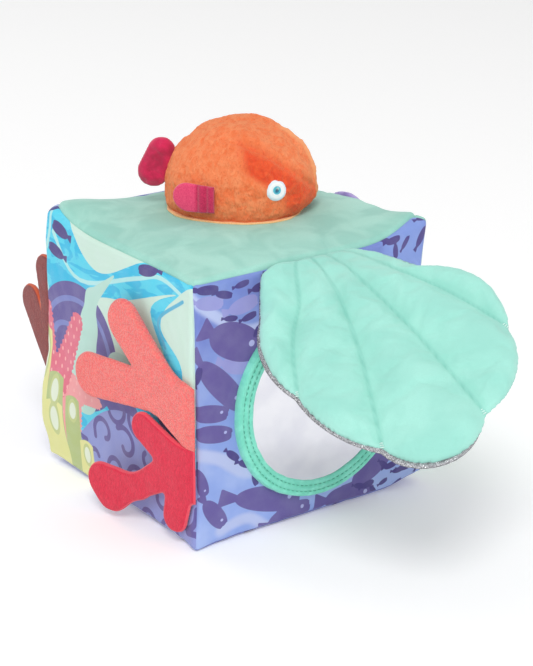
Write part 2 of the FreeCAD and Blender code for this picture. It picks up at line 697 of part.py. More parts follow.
def build_access():
    tape = (FISH_X - 20, FISH_X + 20)
    tape_z = (TAPE_Z - TAPE_WIDTH / 2, TAPE_Z + TAPE_WIDTH / 2)
    keep("hook_tape", block(*tape, HALF, HALF + TAPE, *tape_z))
    loop_y = HALF + TAPE + RUNNING
    keep("loop_tape", block(*tape, loop_y, loop_y + TAPE, *tape_z))
    flap_y = loop_y + TAPE
    flap_high = ACCESS_HIGH + 2.0
    flap = block(
        FISH_X - ACCESS_FLAP_HALF, FISH_X + ACCESS_FLAP_HALF,
        flap_y, flap_y + ACCESS_FLAP_THICKNESS, ACCESS_FLAP_LOW, flap_high,
    )
    corners = [e for e in flap.Edges if e.BoundBox.YLength > 1 and e.BoundBox.ZMax < ACCESS_FLAP_LOW + 1]
    flap = flap.makeFillet(8.0, corners)
    keep("access_flap", flap)
    hem = block(
        FISH_X - ACCESS_FLAP_HALF, FISH_X + ACCESS_FLAP_HALF, HALF - 3, flap_y + 1.0,
        flap_high + 0.3, flap_high + 1.5,
    )
    keep("access_flap_hem", hem.cut(rounded_block(0.0)))


# ---- run ----------------------------------------------------------------------------------------

cube_form = build_cube()
build_mirror()
build_shell(cube_form)
build_corals(cube_form)
build_fish()
build_module()
build_jellyfish()
build_access()

os.makedirs("parts", exist_ok=True)
for name, shape in made.items():
    solids = shape.Solids
    assert solids, name
    shape = solids[0] if len(solids) == 1 else Part.makeCompound(solids)
    for solid in solids:
        assert solid.isValid(), name
        assert solid.Volume > 0, name
    shape.exportStep(f"parts/{name}.step")
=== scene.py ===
import json
import math

import bpy
import numpy as np
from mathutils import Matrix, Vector


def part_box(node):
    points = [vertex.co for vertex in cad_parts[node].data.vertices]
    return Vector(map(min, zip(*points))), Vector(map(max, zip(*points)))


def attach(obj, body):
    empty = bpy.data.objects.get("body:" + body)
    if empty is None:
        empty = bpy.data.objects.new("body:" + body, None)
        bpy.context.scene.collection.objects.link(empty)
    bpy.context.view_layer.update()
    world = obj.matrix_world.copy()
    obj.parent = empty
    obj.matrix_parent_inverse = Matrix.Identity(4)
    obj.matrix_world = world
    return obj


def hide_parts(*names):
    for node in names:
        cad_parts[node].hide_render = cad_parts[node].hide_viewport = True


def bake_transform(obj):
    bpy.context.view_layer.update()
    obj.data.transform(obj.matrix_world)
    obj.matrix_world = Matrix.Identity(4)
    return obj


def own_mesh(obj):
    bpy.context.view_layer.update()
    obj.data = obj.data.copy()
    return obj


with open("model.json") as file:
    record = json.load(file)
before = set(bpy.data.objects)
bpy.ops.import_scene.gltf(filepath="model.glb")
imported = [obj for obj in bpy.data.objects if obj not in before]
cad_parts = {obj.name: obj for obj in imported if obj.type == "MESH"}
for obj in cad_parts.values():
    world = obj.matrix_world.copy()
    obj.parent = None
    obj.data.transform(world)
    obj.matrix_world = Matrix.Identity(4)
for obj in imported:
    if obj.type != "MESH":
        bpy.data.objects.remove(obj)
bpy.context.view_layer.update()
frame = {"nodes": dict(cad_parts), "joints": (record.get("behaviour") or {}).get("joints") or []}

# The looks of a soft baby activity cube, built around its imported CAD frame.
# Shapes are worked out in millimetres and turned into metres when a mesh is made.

MM = 0.001


def box_mm(node):
    """Lowest and highest corner of a CAD node, in millimetres."""
    low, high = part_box(node)
    return np.array(low) / MM, np.array(high) / MM


# ---- sizes taken from the frame -----------------------------------------------------------------

BACKED_CLOTH = 2.1  # thickness of the cloth with its backing
HALF = box_mm("foam_core")[1][0] + BACKED_CLOTH  # seam plane of the side panels
TOP = box_mm("top_panel")[1][2]  # crown of the stuffed top
SEAM_Z = TOP - 6.0  # height of the seam round the top
EDGE = 4.5  # rounding of the stuffed block's edges
WRAP = 27.0  # how far a side panel may run onto the top
CELL, BACK_CELL, PLAIN_CELL = 0.62, 0.8, 1.2  # mesh pitches of the seen prints, the back and the plain side
FISH_X, FISH_Y = 7.0, 6.0  # middle of the plush fish and of its plunger
POCKET_TOP = 147.0  # top of the sound module's pocket in the foam
SHAFT_RADIUS = 10.0  # hole for the fish's plunger, through the foam and the top panel


def joint_named(name):
    """A joint's entry in the frame."""
    return next(joint for joint in frame["joints"] if joint["name"] == name)


def joint_place(name):
    """Anchor point of a joint, in millimetres, and its axis."""
    joint = joint_named(name)
    return np.array(joint["pos_m"]) / MM, np.array(joint["axis"])


# ---- number helpers -----------------------------------------------------------------------------


def smooth_step(value, low, high):
    """From 0 at low to 1 at high, with soft ends."""
    t = np.clip((value - low) / (high - low), 0.0, 1.0)
    return t * t * (3 - 2 * t)


def bell(offset, width):
    """1 at no offset, and close to 0 beyond twice the width."""
    return np.exp(-((offset / width) ** 2))


def noise(points, size, seed=0):
    """Smooth random values from -1 to 1, with bumps about size across. Equal points give equal values."""
    scaled = np.asarray(points, float) / size + seed * 17.31 + 400.0
    cell = np.floor(scaled).astype(np.int64)
    part = scaled - cell
    part = part * part * (3 - 2 * part)
    total = np.zeros(scaled.shape[:-1])
    for corner in np.ndindex(2, 2, 2):
        spot = cell + np.array(corner)
        mixed = spot[..., 0] * 73856093 ^ spot[..., 1] * 19349663 ^ spot[..., 2] * 83492791
        mixed = ((mixed ^ (mixed >> 13)) * 1274126177) & 0x7FFFFFFF
        value = ((mixed >> 8) & 0xFFFF) / 32767.5 - 1.0
        weight = np.prod(np.where(corner, part, 1 - part), axis=-1)
        total += weight * value
    return total


def flat_noise(u, v, size, seed=0):
    """The same for places on a flat sheet."""
    u, v = np.broadcast_arrays(u, v)
    return noise(np.stack([u, v, np.zeros(u.shape)], -1), size, seed)


def round_circle(count):
    """Evenly spread angles of a full turn."""
    return np.arange(count) * 2 * math.pi / count


def turn(points, centre, axis, degrees):
    """Points turned about a line through centre."""
    angle = math.radians(degrees)
    axis = np.asarray(axis, float) / np.linalg.norm(axis)
    rel = np.asarray(points, float) - centre
    cosine, sine = math.cos(angle), math.sin(angle)
    along = (rel @ axis)[..., None] * axis
    return centre + rel * cosine + np.cross(axis, rel) * sine + along * (1 - cosine)


# ---- flat outlines ------------------------------------------------------------------------------


def arc(start, middle, end, steps=14):
    """Points on the circle arc through three points, without the last one."""
    a, b, c = (complex(*p) for p in (start, middle, end))
    w = (c - a) / (b - a)
    centre = (b - a) * (w - abs(w) ** 2) / (2j * w.imag) + a
    radius = abs(a - centre)
    first = np.angle(a - centre)
    sweep = np.angle((c - centre) / (a - centre)) % (2 * math.pi)
    to_middle = np.angle((b - centre) / (a - centre)) % (2 * math.pi)
    if to_middle > sweep:
        sweep -= 2 * math.pi
    angles = first + sweep * np.arange(steps) / steps
    return [(centre.real + radius * math.cos(t), centre.imag + radius * math.sin(t)) for t in angles]


def curve(points, closed=True, steps=8):
    """A smooth curve through points (Catmull-Rom)."""
    p = np.array(points, float)
    if closed:
        p = np.concatenate([p[-1:], p, p[:2]])
    else:
        p = np.concatenate([2 * p[:1] - p[1:2], p, 2 * p[-1:] - p[-2:-1]])
    made = []
    for i in range(1, len(p) - 2):
        before, a, b, after = p[i - 1], p[i], p[i + 1], p[i + 2]
        for t in np.arange(steps) / steps:
            made.append(
                0.5 * (2 * a + (b - before) * t + (2 * before - 5 * a + 4 * b - after) * t**2
                       + (3 * a - before - 3 * b + after) * t**3)
            )
    if not closed:
        made.append(p[-2])
    return np.array(made)


def nearest_on_path(u, v, path, closed):
    """Distance from each point to a path of straight steps, and the nearest place on it."""
    shape = u.shape
    p = np.stack([u.ravel(), v.ravel()], -1)
    starts = path if closed else path[:-1]
    ends = np.roll(path, -1, axis=0) if closed else path[1:]
    best = np.full(len(p), 1e9)
    place = np.zeros_like(p)
    for a, b in zip(starts, ends):
        run = b - a
        t = np.clip(((p - a) @ run) / max(run @ run, 1e-9), 0, 1)
        spot = a + t[:, None] * run
        gap = np.hypot(p[:, 0] - spot[:, 0], p[:, 1] - spot[:, 1])
        nearer = gap < best
        best = np.where(nearer, gap, best)
        place[nearer] = spot[nearer]
    return best.reshape(shape), place.reshape(shape + (2,))


def is_inside(u, v, path):
    """Even-odd test of points against a closed path."""
    inside = np.zeros(u.shape, bool)
    for (ax, ay), (bx, by) in zip(path, np.roll(path, -1, axis=0)):
        if ay == by:
            continue
        crosses = ((ay > v) != (by > v)) & (u < (bx - ax) * (v - ay) / (by - ay) + ax)
        inside ^= crosses
    return inside


def near_path(u, v, path, reach):
    """Whether points are inside the box round a path, grown by reach."""
    low, high = path.min(0) - reach, path.max(0) + reach
    return (u > low[0]) & (u < high[0]) & (v > low[1]) & (v < high[1])


def depth_in(u, v, path):
    """Signed distance to a closed path, positive inside. Far places only get a rough value."""
    path = np.asarray(path, float)
    reach = 4.0
    near = near_path(u, v, path, reach)
    depth = np.full(u.shape, -reach)
    if near.any():
        gap, _ = nearest_on_path(u[near], v[near], path, True)
        depth[near] = np.where(is_inside(u[near], v[near], path), gap, -gap)
    return depth


def band(u, v, points, width):
    """Depth inside a line of the given width that runs smoothly through points."""
    path = curve(points, closed=False, steps=6)
    near = near_path(u, v, path, width + 3)
    depth = np.full(u.shape, -3.0)
    if near.any():
        depth[near] = width / 2 - nearest_on_path(u[near], v[near], path, False)[0]
    return depth


def oval(u, v, centre, half_wide, half_high, lean=0.0):
    """Depth inside an ellipse leaning by some degrees."""
    angle = math.radians(lean)
    du, dv = u - centre[0], v - centre[1]
    along = du * math.cos(angle) + dv * math.sin(angle)
    across = dv * math.cos(angle) - du * math.sin(angle)
    reach = np.hypot(along / half_wide, across / half_high)
    return (1 - reach) * min(half_wide, half_high)


def printed_fish(u, v, tail, nose, height):
    """Depth inside a simple printed fish: a leaf-shaped body and a small fan tail."""
    run = np.array(nose, float) - np.array(tail, float)
    length = math.hypot(*run)
    run /= length
    du, dv = u - tail[0], v - tail[1]
    along = (du * run[0] + dv * run[1]) / length
    across = np.abs(dv * run[0] - du * run[1])
    body_at = (along - 0.16) / 0.84
    fullness = np.clip(1 - np.abs(2 * body_at - 1.08) ** 2.2 / 1.18, 0, 1)
    body = height / 2 * np.sqrt(fullness) - across
    body = np.where((body_at > 0) & (body_at < 1), body, -0.5)
    fan_half = height * (0.34 - 1.2 * np.clip(along, 0, 0.2))
    fan = np.minimum(fan_half - across, np.minimum(along + 0.02, 0.24 - along) * length)
    return np.maximum(body, fan)


def ring(u, v, centre, half_wide, half_high, width):
    """Depth inside a line of the given width that follows an upright ellipse."""
    return width / 2 - np.abs(oval(u, v, centre, half_wide, half_high))


def union(*depths):
    """Depth inside any of several shapes."""
    return np.maximum.reduce(depths)


def stroke(u, v, start, end, start_radius, end_radius):
    """Depth inside a finger with round ends, whose radius changes evenly from start to end."""
    run_u, run_v = end[0] - start[0], end[1] - start[1]
    t = np.clip(((u - start[0]) * run_u + (v - start[1]) * run_v) / (run_u**2 + run_v**2), 0, 1)
    gap = np.hypot(u - start[0] - t * run_u, v - start[1] - t * run_v)
    return start_radius + (end_radius - start_radius) * t - gap


def merged(u, v, strokes, soft):
    """Depth inside several strokes, whose meeting corners are rounded over a width called soft."""
    total = stroke(u, v, *strokes[0])
    for one in strokes[1:]:
        depth = stroke(u, v, *one)
        share = np.clip(0.5 + 0.5 * (depth - total) / soft, 0, 1)
        total = total + (depth - total) * share + soft * share * (1 - share)
    return total


class Path:
    """The edge of a sheet, given as a closed path."""

    def __init__(self, points):
        self.points = np.asarray(points, float)
        self.low, self.high = self.points.min(0), self.points.max(0)

    def measure(self, u, v):
        """Distance to the edge, the nearest place on it, and whether each point is inside."""
        gap, spot = nearest_on_path(u, v, self.points, True)
        return gap, spot, is_inside(u, v, self.points)


class Fingers:
    """The edge of a sheet made of merged strokes and cut off straight at u = cut."""

    def __init__(self, strokes, soft, cut):
        self.strokes, self.soft, self.cut = strokes, soft, cut
        ends = [(np.add(place, side * radius)) for a, b, c, d in strokes
                for place, radius in ((a, c), (b, d)) for side in (-1, 1)]
        self.low, self.high = np.min(ends, axis=0), np.max(ends, axis=0)

    def depth(self, u, v):
        return np.minimum(merged(u, v, self.strokes, self.soft), u - self.cut)

    def measure(self, u, v):
        """The same as for a path. The nearest place is found by walking down the slope of the depth."""
        depth, spot = self.depth(u, v), np.stack([u, v], -1)
        nudge = 0.02
        for _ in range(6):
            a, b = spot[..., 0], spot[..., 1]
            slope = np.stack([self.depth(a + nudge, b) - self.depth(a - nudge, b),
                              self.depth(a, b + nudge) - self.depth(a, b - nudge)], -1) / (2 * nudge)
            steep = np.maximum((slope**2).sum(-1), 0.2)
            spot = spot - (self.depth(a, b) / steep)[..., None] * slope
        return np.abs(depth), spot, depth > 0


# ---- mesh helpers -------------------------------------------------------------------------------


def grid_faces(rows, columns, wrap=False):
    """Four-sided faces of a grid of points stored row by row."""
    row = np.arange(rows - 1)[:, None]
    column = np.arange(columns if wrap else columns - 1)[None, :]
    after = (column + 1) % columns
    corners = [row * columns + column, row * columns + after,
               (row + 1) * columns + after, (row + 1) * columns + column]
    return np.stack(corners, -1).reshape(-1, 4)


def ring_faces(rows, columns):
    """Faces of a closed loop of closed sections."""
    section = np.arange(columns)
    following = (section + 1) % columns
    last = (rows - 1) * columns
    closing = np.stack([last + section, last + following, following, section], -1)
    return np.concatenate([grid_faces(rows, columns, True), closing])


def fan_faces(first, count, tip, outwards=True):
    """Triangles from a closed row of points, which starts at number first, to one tip."""
    here = np.arange(count)
    following = (here + 1) % count
    pair = (here, following) if outwards else (following, here)
    return [(first + int(a), first + int(b), tip) for a, b in zip(*pair)]


def as_tuples(faces):
    return [tuple(face) for face in faces]


def make_piece(name, points, faces, material, fields=None, body=None, stands_for=()):
    """A smooth mesh object from points in millimetres. Fields are one number per point, for its material.
    It rides on the body, if one is named, and stands for the named CAD nodes."""
    mesh = bpy.data.meshes.new(name)
    mesh.from_pydata((np.asarray(points, float).reshape(-1, 3) * MM).tolist(), [], as_tuples(faces))
    mesh.validate()
    for key, values in (fields or {}).items():
        layer = mesh.attributes.new(key, "FLOAT", "POINT")
        layer.data.foreach_set("value", np.clip(values, -8, 8).astype(np.float32).ravel())
    mesh.polygons.foreach_set("use_smooth", np.ones(len(mesh.polygons), bool))
    mesh.materials.append(material)
    piece = bpy.data.objects.new(name, mesh)
    bpy.context.scene.collection.objects.link(piece)
    if body:
        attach(piece, body)
    if stands_for:
        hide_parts(*stands_for)
    return piece


def join_parts(parts):
    """Several (points, faces) as one."""
    points, faces, first = [], [], 0
    for some_points, some_faces in parts:
        some_points = np.asarray(some_points, float).reshape(-1, 3)
        points.append(some_points)
        faces.extend([tuple(int(i) + first for i in face) for face in some_faces])
        first += len(some_points)
    return np.concatenate(points), faces


def cut_sheet(edge, cell, front, back, place):
    """A soft sheet cut to an edge. front and back give each side's height from its depth inside
    the edge and its place; place turns (u, v, height) into points. Returns points, faces, depth, u, v."""
    low, high = edge.low - cell, edge.high + cell
    us = np.arange(low[0], high[0] + cell, cell)
    vs = np.arange(low[1], high[1] + cell, cell)
    u, v = np.meshgrid(us, vs)
    gap, spot, inside = edge.measure(u, v)
    # A grid point this close to the edge is moved onto it with the rim.
    inside &= gap > cell * 0.3
    cells = grid_faces(*u.shape)
    flags = inside.ravel()[cells]
    cells = cells[flags.any(axis=1)]
    used = np.unique(cells)
    rim = used[~inside.ravel()[used]]
    u, v, gap = u.ravel().copy(), v.ravel().copy(), gap.ravel().copy()
    spot = spot.reshape(-1, 2)
    u[rim], v[rim], gap[rim] = spot[rim, 0], spot[rim, 1], 0.0
    inner = used[inside.ravel()[used]]
    # The back has its own points, except on the rim, which it shares with the front.
    number = np.full(len(u), -1)
    number[used] = np.arange(len(used))
    under = np.full(len(u), -1)
    under[rim] = number[rim]
    under[inner] = len(used) + np.arange(len(inner))
    order = np.concatenate([used, inner])
    depth, flat_u, flat_v = gap[order], u[order], v[order]
    height = front(depth, flat_u, flat_v)
    height[len(used):] = back(depth, flat_u, flat_v)[len(used):]
    faces = np.concatenate([number[cells], under[cells][:, ::-1]])
    return place(flat_u, flat_v, height), faces, depth, flat_u, flat_v


def rounded_rim(thick, soft):
    """A side of a felt sheet that rounds down to its edge over a width called soft."""
    def height(depth, u, v):
        share = 1 - np.clip(depth / soft, 0, 1)
        return thick * np.sqrt(1 - share * share)
    return height


def below(side):
    """The same side, on the other face of the sheet."""
    return lambda depth, u, v: -side(depth, u, v)


def half_round(depth, width):
    """From 0 at an edge to 1 at a depth of width, as a quarter circle."""
    return np.sqrt(1 - (1 - np.clip(depth / width, 0, 1)) ** 2)


def tube(path, radius, sides=6):
    """A round thread along a path of points, closed at both ends."""
    path = np.asarray(path, float)
    count = len(path)
    ahead = np.gradient(path, axis=0)
    ahead /= np.linalg.norm(ahead, axis=1)[:, None]
    helper = np.array([0.0, 0.0, 1.0]) if abs(ahead[0][2]) < 0.9 else np.array([1.0, 0.0, 0.0])
    side = np.cross(ahead, helper)
    side /= np.linalg.norm(side, axis=1)[:, None]
    other = np.cross(ahead, side)
    swell = np.sqrt(np.clip(1 - np.linspace(-1, 1, count) ** 6, 0.05, 1)) * radius
    angle = round_circle(sides)
    ring = np.cos(angle)[None, :, None] * side[:, None] + np.sin(angle)[None, :, None] * other[:, None]
    points = (path[:, None] + ring * swell[:, None, None]).reshape(-1, 3)
    faces = as_tuples(grid_faces(count, sides, True))
    faces.append(tuple(range(sides))[::-1])
    faces.append(tuple(range((count - 1) * sides, count * sides)))
    return points, faces


def travelled(path):
    """Distance along a path at each of its points."""
    return np.concatenate([[0], np.cumsum(np.linalg.norm(np.diff(path, axis=0), axis=1))])


def stitches(path, outward, length=2.2, gap=1.0, radius=0.28):
    """A row of thread stitches along a dense path. Outward gives each path point's surface direction."""
    path = np.asarray(path, float)
    travel = travelled(path)
    parts = []
    for start in np.arange(0.3, travel[-1] - length, length + gap):
        at = np.linspace(start, start + length, 6)
        run = np.stack([np.interp(at, travel, path[:, k]) for k in range(3)], -1)
        lift = np.stack([np.interp(at, travel, outward[:, k]) for k in range(3)], -1)
        bow = radius * (0.9 - 1.9 * np.abs(np.linspace(-1, 1, 6)) ** 3)
        parts.append(tube(run + lift * bow[:, None], radius))
    return join_parts(parts)


# ---- stuffing, as a cloth simulation ------------------------------------------------------------


def place_array(mesh):
    """The points of a mesh as rows of three numbers, in metres."""
    flat = np.empty(len(mesh.vertices) * 3, np.float32)
    mesh.vertices.foreach_get("co", flat)
    return flat.reshape(-1, 3)


def apply_modifier(piece, modifier):
    """Makes a modifier's result the piece's own mesh."""
    with bpy.context.temp_override(object=piece, active_object=piece):
        bpy.ops.object.modifier_apply(modifier=modifier.name)


STUFFING_FRAMES = 20
CUT_TOO_LARGE = 0.03  # as a share of the cloth's size
STUFFING_PRESSURE = 20.0


def stuff(piece, sewn, cap):
    """Fills a sewn piece: the cloth is cut a little too large and blown up, and held where sewn is true.
    No point moves further than cap."""
    held = piece.vertex_groups.new(name="sewn")
    held.add(np.flatnonzero(sewn).tolist(), 1.0, "REPLACE")
    before = place_array(piece.data)
    filling = piece.modifiers.new("filling", "CLOTH")
    settings = filling.settings
    settings.quality = 6
    settings.mass = 0.05
    settings.use_pressure = True
    settings.uniform_pressure_force = STUFFING_PRESSURE
    settings.shrink_min = -CUT_TOO_LARGE
    settings.effector_weights.gravity = 0.0
    settings.vertex_group_mass = "sewn"
    filling.point_cache.frame_start, filling.point_cache.frame_end = 1, STUFFING_FRAMES
    for step in range(1, STUFFING_FRAMES + 1):
        bpy.context.scene.frame_set(step)
    settled = piece.evaluated_get(bpy.context.evaluated_depsgraph_get())
    moved = place_array(settled.data) - before
    length = np.linalg.norm(moved, axis=1, keepdims=True)
    moved *= np.minimum(1.0, cap * MM / np.maximum(length, 1e-9))
    piece.modifiers.remove(filling)
    piece.vertex_groups.remove(held)
    piece.data.vertices.foreach_set("co", (before + moved).ravel())
    bpy.context.scene.frame_set(1)
    finer = piece.modifiers.new("finer", "SUBSURF")
    finer.levels = 1
    apply_modifier(piece, finer)


def front_count(depth):
    """How many points of a cut sheet belong to its front, the rim included."""
    rim = int((depth == 0).sum())
    return rim + (len(depth) - rim) // 2


# ---- materials ----------------------------------------------------------------------------------


def tint(red, green, blue):
    """A colour given as screen values from 0 to 255, as linear light."""
    shares = [value / 255 for value in (red, green, blue)]
    linear = [c / 12.92 if c <= 0.04 else ((c + 0.055) / 1.055) ** 2.4 for c in shares]
    return (*linear, 1.0)


class Cloth:
    """One material's node tree, with short calls for the nodes used here. Patterns are in millimetres."""

    def __init__(self, name, roughness=0.8, sheen=0.0, metallic=0.0):
        self.material = bpy.data.materials.new(name)
        self.material.use_nodes = True
        self.nodes = self.material.node_tree.nodes
        self.links = self.material.node_tree.links
        self.surface = self.nodes["Principled BSDF"]
        self.surface.inputs["Roughness"].default_value = roughness
        self.surface.inputs["Sheen Weight"].default_value = sheen
        self.surface.inputs["Sheen Roughness"].default_value = 0.5
        self.surface.inputs["Metallic"].default_value = metallic
        place = self.nodes.new("ShaderNodeTexCoord")
        self.millimetres = self.vector("SCALE", place.outputs["Object"], scale=1 / MM)
        self.height = None

    def put(self, socket, value):
        if hasattr(value, "is_output"):
            self.links.new(value, socket)
        else:
            socket.default_value = value

    def vector(self, operation, a, b=None, scale=None):
        node = self.nodes.new("ShaderNodeVectorMath")
        node.operation = operation
        self.put(node.inputs[0], a)
        if b is not None:
            self.put(node.inputs[1], b)
        if scale is not None:
            node.inputs["Scale"].default_value = scale
        return node.outputs[0]

    def math(self, operation, a, b=0.0):
        node = self.nodes.new("ShaderNodeMath")
        node.operation = operation
        self.put(node.inputs[0], a)
        self.put(node.inputs[1], b)
        return node.outputs[0]

    def noise(self, size, detail=2.0, stretch=(1, 1, 1), twist=0.0):
        node = self.nodes.new("ShaderNodeTexNoise")
        self.put(node.inputs["Vector"], self.vector("MULTIPLY", self.millimetres, stretch))
        node.inputs["Scale"].default_value = 1.0 / size
        node.inputs["Detail"].default_value = detail
        node.inputs["Distortion"].default_value = twist
        return node.outputs["Fac"]

    def cells(self, size, output="Distance", feature="F1"):
        node = self.nodes.new("ShaderNodeTexVoronoi")
        node.feature = feature
        self.put(node.inputs["Vector"], self.millimetres)
        node.inputs["Scale"].default_value = 1.0 / size
        return node.outputs[output]

    def weave(self, pitch):
        """Raised threads that cross, on faces along any two axes."""
        node = self.nodes.new("ShaderNodeSeparateXYZ")
        self.put(node.inputs[0], self.millimetres)
        x, y, z = (self.math("SINE", self.math("MULTIPLY", s, 2 * math.pi / pitch)) for s in node.outputs)
        pairs = [self.math("MULTIPLY", a, b) for a, b in ((x, z), (y, z), (x, y))]
        return self.math("ADD", self.math("ADD", pairs[0], pairs[1]), pairs[2])

    def span(self, value, low, high, to_low=0.0, to_high=1.0):
        node = self.nodes.new("ShaderNodeMapRange")
        node.interpolation_type = "SMOOTHSTEP"
        self.put(node.inputs["Value"], value)
        ends = (("From Min", low), ("From Max", high), ("To Min", to_low), ("To Max", to_high))
        for key, end in ends:
            node.inputs[key].default_value = end
        return node.outputs["Result"]

    def field(self, name):
        node = self.nodes.new("ShaderNodeAttribute")
        node.attribute_name = name
        return node.outputs["Fac"]

    def mix(self, share, a, b):
        node = self.nodes.new("ShaderNodeMix")
        node.data_type = "RGBA"
        self.put(node.inputs["Factor"], share)
        self.put(node.inputs[6], a)
        self.put(node.inputs[7], b)
        return node.outputs[2]

    def layer(self, base, name, colour, soft=0.14):
        """Prints a colour over base wherever the named field is above zero."""
        return self.mix(self.span(self.field(name), -soft, soft), base, colour)

    def bump(self, height, depth):
        """Adds relief of the given depth in millimetres."""
        node = self.nodes.new("ShaderNodeBump")
        node.inputs["Strength"].default_value = 1.0
        node.inputs["Distance"].default_value = depth * MM
        self.put(node.inputs["Height"], height)
        if self.height is not None:
            self.links.new(self.height, node.inputs["Normal"])
        self.height = node.outputs["Normal"]
        self.links.new(self.height, self.surface.inputs["Normal"])

    def paint(self, colour):
        self.put(self.surface.inputs["Base Color"], colour)
        return self.material


def velour(name, light, dark, nap=14.0, sheen=0.35, shade=None):
    """Short brushed pile: the nap turns in patches, and fine fibres catch the light. Shade is a painted shade
    colour, mixed in along the creases by the crease field.
    """
    cloth = Cloth(name, 0.92, sheen)
    patches = cloth.span(cloth.noise(nap, 3.0, twist=0.6), 0.32, 0.68)
    cloth.bump(cloth.noise(0.5, 2.0), 0.12)
    cloth.bump(cloth.noise(2.2, 2.0), 0.10)
    colour = cloth.mix(patches, dark, light)
    speck = cloth.span(cloth.noise(0.7, 1.0), 0.3, 0.7)
    colour = cloth.mix(cloth.math("MULTIPLY", speck, 0.25), colour, dark)
    if shade is not None:
        # Painted shade: darker along the quilting creases.
        colour = cloth.mix(cloth.span(cloth.field("crease"), 0.0, 1.0, 0.0, 0.45), colour, shade)
    return cloth.paint(colour)


def felt(name, light, dark, edge=None):
    """Pressed fibres, matted in all directions. The edge colour shows on the cut edge."""
    cloth = Cloth(name, 0.95, 0.25)
    fibre = cloth.noise(0.8, 4.0, (1, 1, 0.35), 1.5)
    cloth.bump(fibre, 0.25)
    cloth.bump(cloth.noise(3.0, 2.0), 0.15)
    colour = cloth.mix(cloth.span(fibre, 0.3, 0.7), dark, light)
    if edge is not None:
        colour = cloth.mix(cloth.span(cloth.field("rim"), 0.5, 1.1), edge, colour)
    return cloth.paint(colour)


def terry(name, light, dark):
    """Towelling: rows of small loops with shade between them."""
    cloth = Cloth(name, 0.95, 0.3)
    loops = cloth.cells(1.15)
    cloth.bump(cloth.span(loops, 0.0, 0.75, 1.0, 0.0), 0.55)
    cloth.bump(cloth.noise(0.45, 2.0), 0.15)
    gaps = cloth.span(loops, 0.42, 0.8)
    patches = cloth.span(cloth.noise(5.0, 3.0), 0.3, 0.7)
    base = cloth.mix(cloth.math("MULTIPLY", patches, 0.35), light, dark)
    return cloth.paint(cloth.mix(cloth.math("MULTIPLY", gaps, 0.75), base, dark))


def printed(name, base, layers, tone=0.12):
    """Fine woven polyester with a print. base is a function of the cloth, and each of the layers is a
    field, its colour and its softness."""
    cloth = Cloth(name, 0.7, 0.12)
    colour = base(cloth)
    for field, ink, soft in layers:
        colour = cloth.layer(colour, field, ink, soft)
    wash = cloth.span(cloth.noise(9.0, 3.0), 0.35, 0.7)
    colour = cloth.mix(cloth.math("MULTIPLY", wash, tone), colour, tint(235, 238, 255))
    cloth.bump(cloth.weave(0.7), 0.03)
    cloth.bump(cloth.noise(7.0, 2.0), 0.25)
    return cloth.paint(colour)


def plush():
    """Soft pile in two oranges with a ragged line where they meet. Painted shade darkens it between its
    strands and near its foot, and a painted highlight lightens a stripe along the nose.
    """
    cloth = Cloth("plush_pile", 0.9, 0.55)
    cloth.surface.inputs["Sheen Tint"].default_value = tint(255, 190, 140)
    strands = cloth.noise(0.7, 4.0, (1, 1, 0.5), 0.8)
    tufts = cloth.noise(3.6, 5.0, (1, 1, 0.7), 0.9)
    cloth.bump(strands, 0.9)
    cloth.bump(tufts, 0.6)
    ragged = cloth.math("ADD", cloth.field("patch"), cloth.span(tufts, 0.2, 0.8, -2.2, 2.2))
    body = cloth.mix(cloth.span(tufts, 0.3, 0.7), tint(249, 120, 66), tint(255, 150, 98))
    head = cloth.mix(cloth.span(tufts, 0.3, 0.7), tint(230, 62, 24), tint(247, 92, 44))
    colour = cloth.mix(cloth.span(ragged, -2.5, 2.5), body, head)
    # Painted shade between the strands.
    colour = cloth.mix(cloth.span(strands, 0.5, 0.72, 0.0, 0.55), colour, tint(222, 84, 36))
    # Painted highlight: a lighter stripe where the seam ridge of the nose catches the light, by the rim
    # field.
    colour = cloth.mix(cloth.span(cloth.field("rim"), -1.0, 1.4), colour, tint(255, 166, 112))
    # Painted shade near the foot, where the body meets its base, by the foot field.
    colour = cloth.mix(cloth.span(cloth.field("foot"), -1.5, 3.0, 0.0, 0.4), colour, tint(232, 90, 40))
    return cloth.paint(colour)


def glitter():
    """Fabric set all over with small silver flakes."""
    cloth = Cloth("glitter_cloth", 0.38, 0.0, 0.7)
    flakes = cloth.nodes.new("ShaderNodeSeparateColor")
    cloth.put(flakes.inputs[0], cloth.cells(0.36, "Color"))
    spark = flakes.outputs[0]
    cloth.put(cloth.surface.inputs["Roughness"], cloth.span(flakes.outputs[1], 0.0, 1.0, 0.25, 0.6))
    cloth.bump(cloth.cells(0.36), 0.12)
    dull = cloth.mix(cloth.span(spark, 0.2, 0.8), tint(118, 118, 122), tint(176, 176, 180))
    return cloth.paint(cloth.mix(cloth.span(spark, 0.93, 0.98), dull, tint(250, 250, 252)))


def mirror_film():
    """Shatter-proof mirror sheet, slightly wavy and faintly cloudy."""
    cloth = Cloth("mirror_film", 0.06, 0.0, 1.0)
    cloth.put(cloth.surface.inputs["Roughness"], cloth.span(cloth.noise(14.0, 2.0), 0.3, 0.7, 0.05, 0.12))
    cloth.bump(cloth.noise(38.0, 1.0), 0.25)
    haze = cloth.span(cloth.noise(22.0, 3.0), 0.3, 0.7)
    return cloth.paint(cloth.mix(haze, tint(226, 226, 234), tint(238, 238, 243)))


